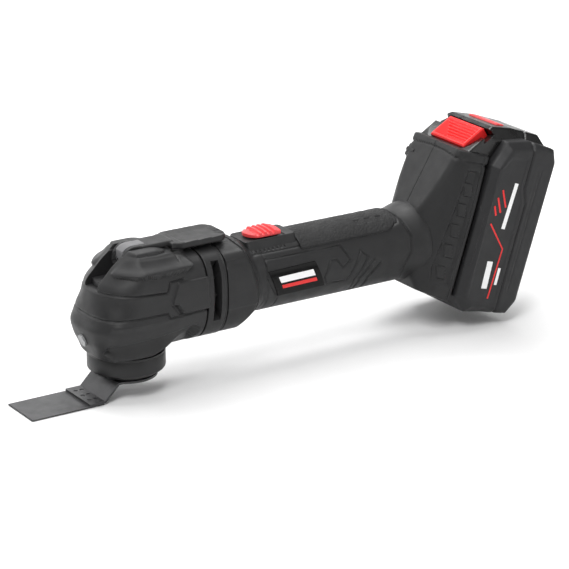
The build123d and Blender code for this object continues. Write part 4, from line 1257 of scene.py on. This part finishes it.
@dataclass
class Pack:
    """Battery pack: a chamfered block with a parting groove, a black latch nose, a red latch and gauge button."""

    side_profile: tuple = ((3.0, 0), (3.0, 90), (10.6, 107.2), (28, 110.6), (48.6, 108.8),
                           (52.8, 100.0), (52.6, 4),
                           (46.6, -5.6), (13.6, -9.4))
    nose_profile: tuple = ((-6.0, 84), (-6.0, 94.6), (-15.0, 94.6), (1.0, 112.6), (3.0, 114.0), (20, 115.4),
                           (43, 114.6), (51.0, 106.0), (51.0, 84))
    half: float = 37.0
    nose_half: float = 27.0
    bevel: float = 5.2
    parting: tuple = ((31.4, 116), (31.8, 80), (36.2, 70), (36.6, 6), (36.8, -14))
    label: tuple = ((8.0, 88.0), (14.6, 98.0), (28.0, 98.6), (28.6, 79), (32.6, 69), (33.6, 2.6), (10.0, 1.0))
    pad: tuple = ((-1.0, 66.0), (3.4, 62.0), (6.4, 58.0), (6.4, 24.0), (2.0, 21.0), (-1.0, 21.0))
    zigzag: tuple = ((12.0, 52.6), (27.8, 37.4), (26.9, 1.6))
    red_marks: tuple = (((14.4, 76.0), (20.6, 65.0)), ((12.2, 70.4), (17.4, 61.0)), ((11.2, 64.6),
                        (14.4, 58.6)))
    light_marks: tuple = (((24.4, 82.0), (23.4, 50.6)), ((20.6, 27.8), (21.6, 9.2)), ((30.0, 24.4),
                          (30.2, 12.8)))
    light_widths: tuple[float, ...] = (3.0, 4.6, 2.2)
    window_middle: tuple[float, float] = (-6.6, 104.2)
    window_way: tuple[float, float] = (0.664, 0.748)
    window_half: tuple[float, float, float] = (10.2, 18.4, 7.4)

    def body_field(self, p: Array) -> Array:
        """Block with wide chamfers all round its side faces, and its grooves and label panel.

        Args:
            p: Points in the pack's frame, mm.

        Returns:
            Field value, negative inside.
        """
        w, y, a = split(p)
        side = np.abs(y)
        flat = outline(w, a, self.side_profile)
        bevel = self.bevel - 3.6 * ramp(w, 26.0, 44.0)
        bevelled = (flat + side - self.half + bevel) * 0.7071
        body = smooth_max(smooth_max(flat, side - self.half, 1.2), bevelled, 1.0)
        body += 1.1 * trace(stroke(w, a, self.parting), 0.7)
        face = ramp(side, 30, 33)
        label = outline(w, a, self.label)
        body += 0.35 * (1 - ramp(label, -0.5, 0.1)) * face
        body -= 0.6 * (1 - ramp(outline(w, a, self.pad), -0.5, 0.1)) * face
        rib = np.abs(w - 40.5) - 1.2
        body += 0.4 * trace(rib, 0.4) * face * ramp(a, 8, 12) * (1 - ramp(a, 92, 96))
        return body

    def nose_field(self, p: Array) -> Array:
        """Latch nose on top of the block, with sloping shoulders, the latch's window and the parting groove.

        Args:
            p: Points in the pack's frame, mm.

        Returns:
            Field value, negative inside.
        """
        w, y, a = split(p)
        side = np.abs(y)
        flat = outline(w, a, self.nose_profile)
        shoulder = (side - self.nose_half) + 0.55 * np.maximum(a - 106.0, 0)
        body = smooth_max(flat, shoulder, 1.2)
        from_w, from_a = w - self.window_middle[0], a - self.window_middle[1]
        along = self.window_way[0] * from_w + self.window_way[1] * from_a
        inward = self.window_way[1] * from_w - self.window_way[0] * from_a
        half_length, half_width, half_deep = self.window_half
        window = np.maximum.reduce([side - half_width, inward - half_deep, np.abs(along) - half_length])
        body = smooth_max(body, -window, 0.3)
        body += 1.1 * trace(w - 31.4, 0.6) * ramp(a, 104, 106)
        return body

    def mark(self, name: str, run: Sequence[tuple[float, float]], width: float, finish: Finish) -> None:
        """Flat printed bar on the near side face: a ribbon of a set width along a chain of points.

        Args:
            name: Name of the piece.
            run: Points (w, a) of the middle line.
            width: Width of the ribbon.
            finish: Its finish.
        """
        points = np.asarray(run, float)
        way = np.gradient(points, axis=0)
        way /= np.linalg.norm(way, axis=1)[:, None]
        across = np.stack([-way[:, 1], way[:, 0]], -1) * width / 2
        edges = np.stack([points + across, points - across], 1)
        lift = np.full(edges.shape[:2], -self.half + 0.25)
        top = np.stack([edges[..., 0], lift, edges[..., 1]], -1)
        dress(sheet_block(name, top, np.array([0.0, 0.35, 0.0]), PACK), finish, "battery_pack", "pack_plastic")

    def build(self) -> None:
        """Make the block, the nose and the marks and dress them."""
        spine = Spine((24.0, 0, 12.0), (24.0, 0, 92.0), (-1, 0, 0), 360, 200, 60)
        block = shell("pack_skin", self.body_field, spine, PACK, 75.0, sharp=28.0)
        dress(block, PACK_PLASTIC, "battery_pack", "pack_plastic", "battery_front_case", "battery_rear_case")
        spine = Spine((9.0, 0, 104.0), (44.0, 0, 106.0), (0, 0, 1), 300, 120, 110)
        nose = shell("pack_nose", self.nose_field, spine, PACK, 60.0, sharp=30.0)
        dress(nose, PACK_BLACK, "battery_pack", "pack_plastic")
        self.mark("pack_zigzag", self.zigzag, 1.1, MARK_RED)
        for index, run in enumerate(self.red_marks):
            self.mark(f"pack_red_mark_{index}", run, 1.3, MARK_RED)
        for index, (run, width) in enumerate(zip(self.light_marks, self.light_widths)):
            self.mark(f"pack_light_mark_{index}", run, width, MARK_WHITE)


@dataclass
class Latch:
    """Red release latch: a rim round a pocket whose long back wall is ribbed, on the nose's sloping face."""

    low: tuple[float, float] = (-12.9, 96.9)
    high: tuple[float, float] = (-0.3, 111.1)
    half: float = 18.0
    rim: float = 1.5
    deep: float = 6.5

    def build(self) -> None:
        """Make the latch as a height field over the face and dress it."""
        low, high = np.asarray(self.low), np.asarray(self.high)
        length = float(np.linalg.norm(high - low))
        way = (high - low) / length
        normal = np.array([-way[1], way[0]])
        s = np.linspace(0, length, 110)[:, None]
        y = np.linspace(-self.half, self.half, 180)[None, :]
        lower = (s - self.rim - 0.3) * 1.25
        upper = (length - self.rim - s) * 0.5
        flank = (self.half - self.rim - np.abs(y)) * 0.85
        rib = 0.3 * np.cos(s * 2 * np.pi / 1.75) * ramp(s, 6.5, 7.5) * (1 - ramp(s, 17.0, 18.0))
        pocket = smooth_min(smooth_min(lower + 0 * y, upper + rib + 0 * y, 0.25), flank + 0 * s, 0.25)
        depth = np.clip(pocket, 0.0, self.deep)
        edge = np.minimum(np.minimum(s, length - s) + 0 * y, self.half - np.abs(y) + 0 * s)
        height = 0.9 - 0.8 * (1 - ramp(edge, 0.0, 0.8)) - depth
        w = low[0] + way[0] * s + normal[0] * height
        a = low[1] + way[1] * s + normal[1] * height
        top = np.stack([w, y + 0 * w, a], -1)
        back = np.stack(
            np.broadcast_arrays(-normal[0] * (height + 8.2), 0.0 * w, -normal[1] * (height + 8.2)), -1,
        )
        piece = sheet_block("latch_skin", top, back, PACK, 32.0)
        dress(piece, RED_LATCH, "pack_latch", "red_plastic", "battery_latch")


@dataclass
class GaugeButton:
    """Charge gauge button: a long rounded pad on the nose's top face with a slot line along it."""

    low: tuple[float, float, float] = (11.6, -15.4, 111.0)
    high: tuple[float, float, float] = (18.6, 15.4, 115.9)

    def field(self, p: Array) -> Array:
        """Rounded box with a shallow groove along its top.

        Args:
            p: Points in the pack's frame, mm.

        Returns:
            Field value, negative inside.
        """
        body = slab_box(p, self.low, self.high, 1.1)
        ribs = 0.22 * trace(np.abs(p[..., 1]) - 6.0, 0.4)
        return body + (0.3 * trace(p[..., 0] - 15.1, 0.4) + ribs) * ramp(p[..., 2], 114.6, 115.6)

    def build(self) -> None:
        """Make the button and dress it."""
        spine = Spine((15.1, -12.0, 113.6), (15.1, 12.0, 113.6), (0, 0, 1), 120, 90, 20)
        button = shell("gauge_button_skin", self.field, spine, PACK, 12.0, sharp=35.0)
        dress(button, RED_SWITCH, "charge_button", "red_plastic", "gauge_button")


# ---------------------------------------------------------------- studio


@dataclass
class Studio:
    """Pale floor, soft box lights and the camera."""

    sensor: float = 36.0
    focal: float = 2600.0
    floor_half: float = 3.0
    floor_steps: int = 60
    eye: tuple[float, float, float] = (-741.888, -1323.720, 592.043)
    azimuth: float = -33.0
    elevation: float = 19.5

    def camera(self) -> None:
        """Place the camera in the tool's frame, looking down by the elevation."""
        data = bpy.data.cameras.new("view")
        data.lens = self.sensor * self.focal / IMAGE_SIDE
        data.sensor_width = self.sensor
        data.clip_end = 50.0
        camera = bpy.data.objects.new("view", data)
        bpy.context.scene.collection.objects.link(camera)
        camera.location = (np.asarray(self.eye) + np.asarray(TOOL.origin)) / 1000.0
        camera.rotation_euler = (math.radians(90.0 - self.elevation), 0.0, math.radians(self.azimuth))
        bpy.context.scene.camera = camera

    def light(self, name: str, at: Sequence[float], aim: Sequence[float], size: float, power: float) -> None:
        """One square soft light aimed at a point.

        Args:
            name: Name of the light.
            at: Its place, metres.
            aim: The point it faces.
            size: Side of the square.
            power: Power in watts.
        """
        data = bpy.data.lights.new(name, "AREA")
        data.size = size
        data.energy = power
        lamp = bpy.data.objects.new(name, data)
        lamp.location = at
        way = Vector(aim) - Vector(at)
        lamp.rotation_euler = way.to_track_quat("-Z", "Y").to_euler()
        bpy.context.scene.collection.objects.link(lamp)

    def floor(self) -> None:
        """Pale matt floor that rises gently at its far edge."""
        span = np.linspace(-1, 1, self.floor_steps) * self.floor_half
        x, y = np.meshgrid(span, span, indexing="ij")
        z = -0.0004 + 0.9 * np.maximum(y - 1.4, 0.0) ** 2
        top = np.stack([x, y, z], -1).reshape(-1, 3)
        index = np.arange(self.floor_steps**2).reshape(self.floor_steps, self.floor_steps)
        quads = np.stack([index[:-1, :-1], index[1:, :-1], index[1:, 1:], index[:-1, 1:]], -1).reshape(-1, 4)
        floor = make_piece("studio_floor", top, quads)
        paper = Finish("floor_paper", (0.86, 0.86, 0.86), 0.8, grain=1.2, relief=0.02, mottle=0.01, wear=0.0)
        floor.data.materials.append(paper.build())

    def build(self) -> None:
        """Set up the whole studio."""
        self.camera()
        self.floor()
        centre = (0.02, 0.0, 0.06)
        self.light("key", (-0.7, -0.7, 1.3), centre, 0.6, 15.0)
        self.light("fill", (0.9, -1.3, 0.7), centre, 1.1, 5.5)
        self.light("top", (0.1, 0.25, 1.4), centre, 1.0, 12.0)
        self.light("rim", (-0.9, 0.9, 0.8), centre, 0.8, 6.0)
        self.light("backdrop", (0.5, 1.2, 1.7), (0.7, 2.3, 0.2), 1.6, 60.0)
        world = bpy.data.worlds.new("studio_world")
        world.use_nodes = True
        background = world.node_tree.nodes["Background"]
        background.inputs["Color"].default_value = (1.0, 1.0, 1.0, 1.0)
        background.inputs["Strength"].default_value = 0.2
        bpy.context.scene.world = world
        bpy.context.scene.view_settings.view_transform = "Standard"


def main() -> None:
    """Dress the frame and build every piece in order."""
    logging.basicConfig(level=logging.INFO, format="%(message)s")
    dress_frame()
    for part in (Head(), Collar(), Lever(), VentRing(), Handle(), NamePlate(), GripStrip(), Switch(), Foot(),
                 Pack(), Latch(), GaugeButton(), Studio()):
        part.build()


if __name__ == "__main__":
    main()
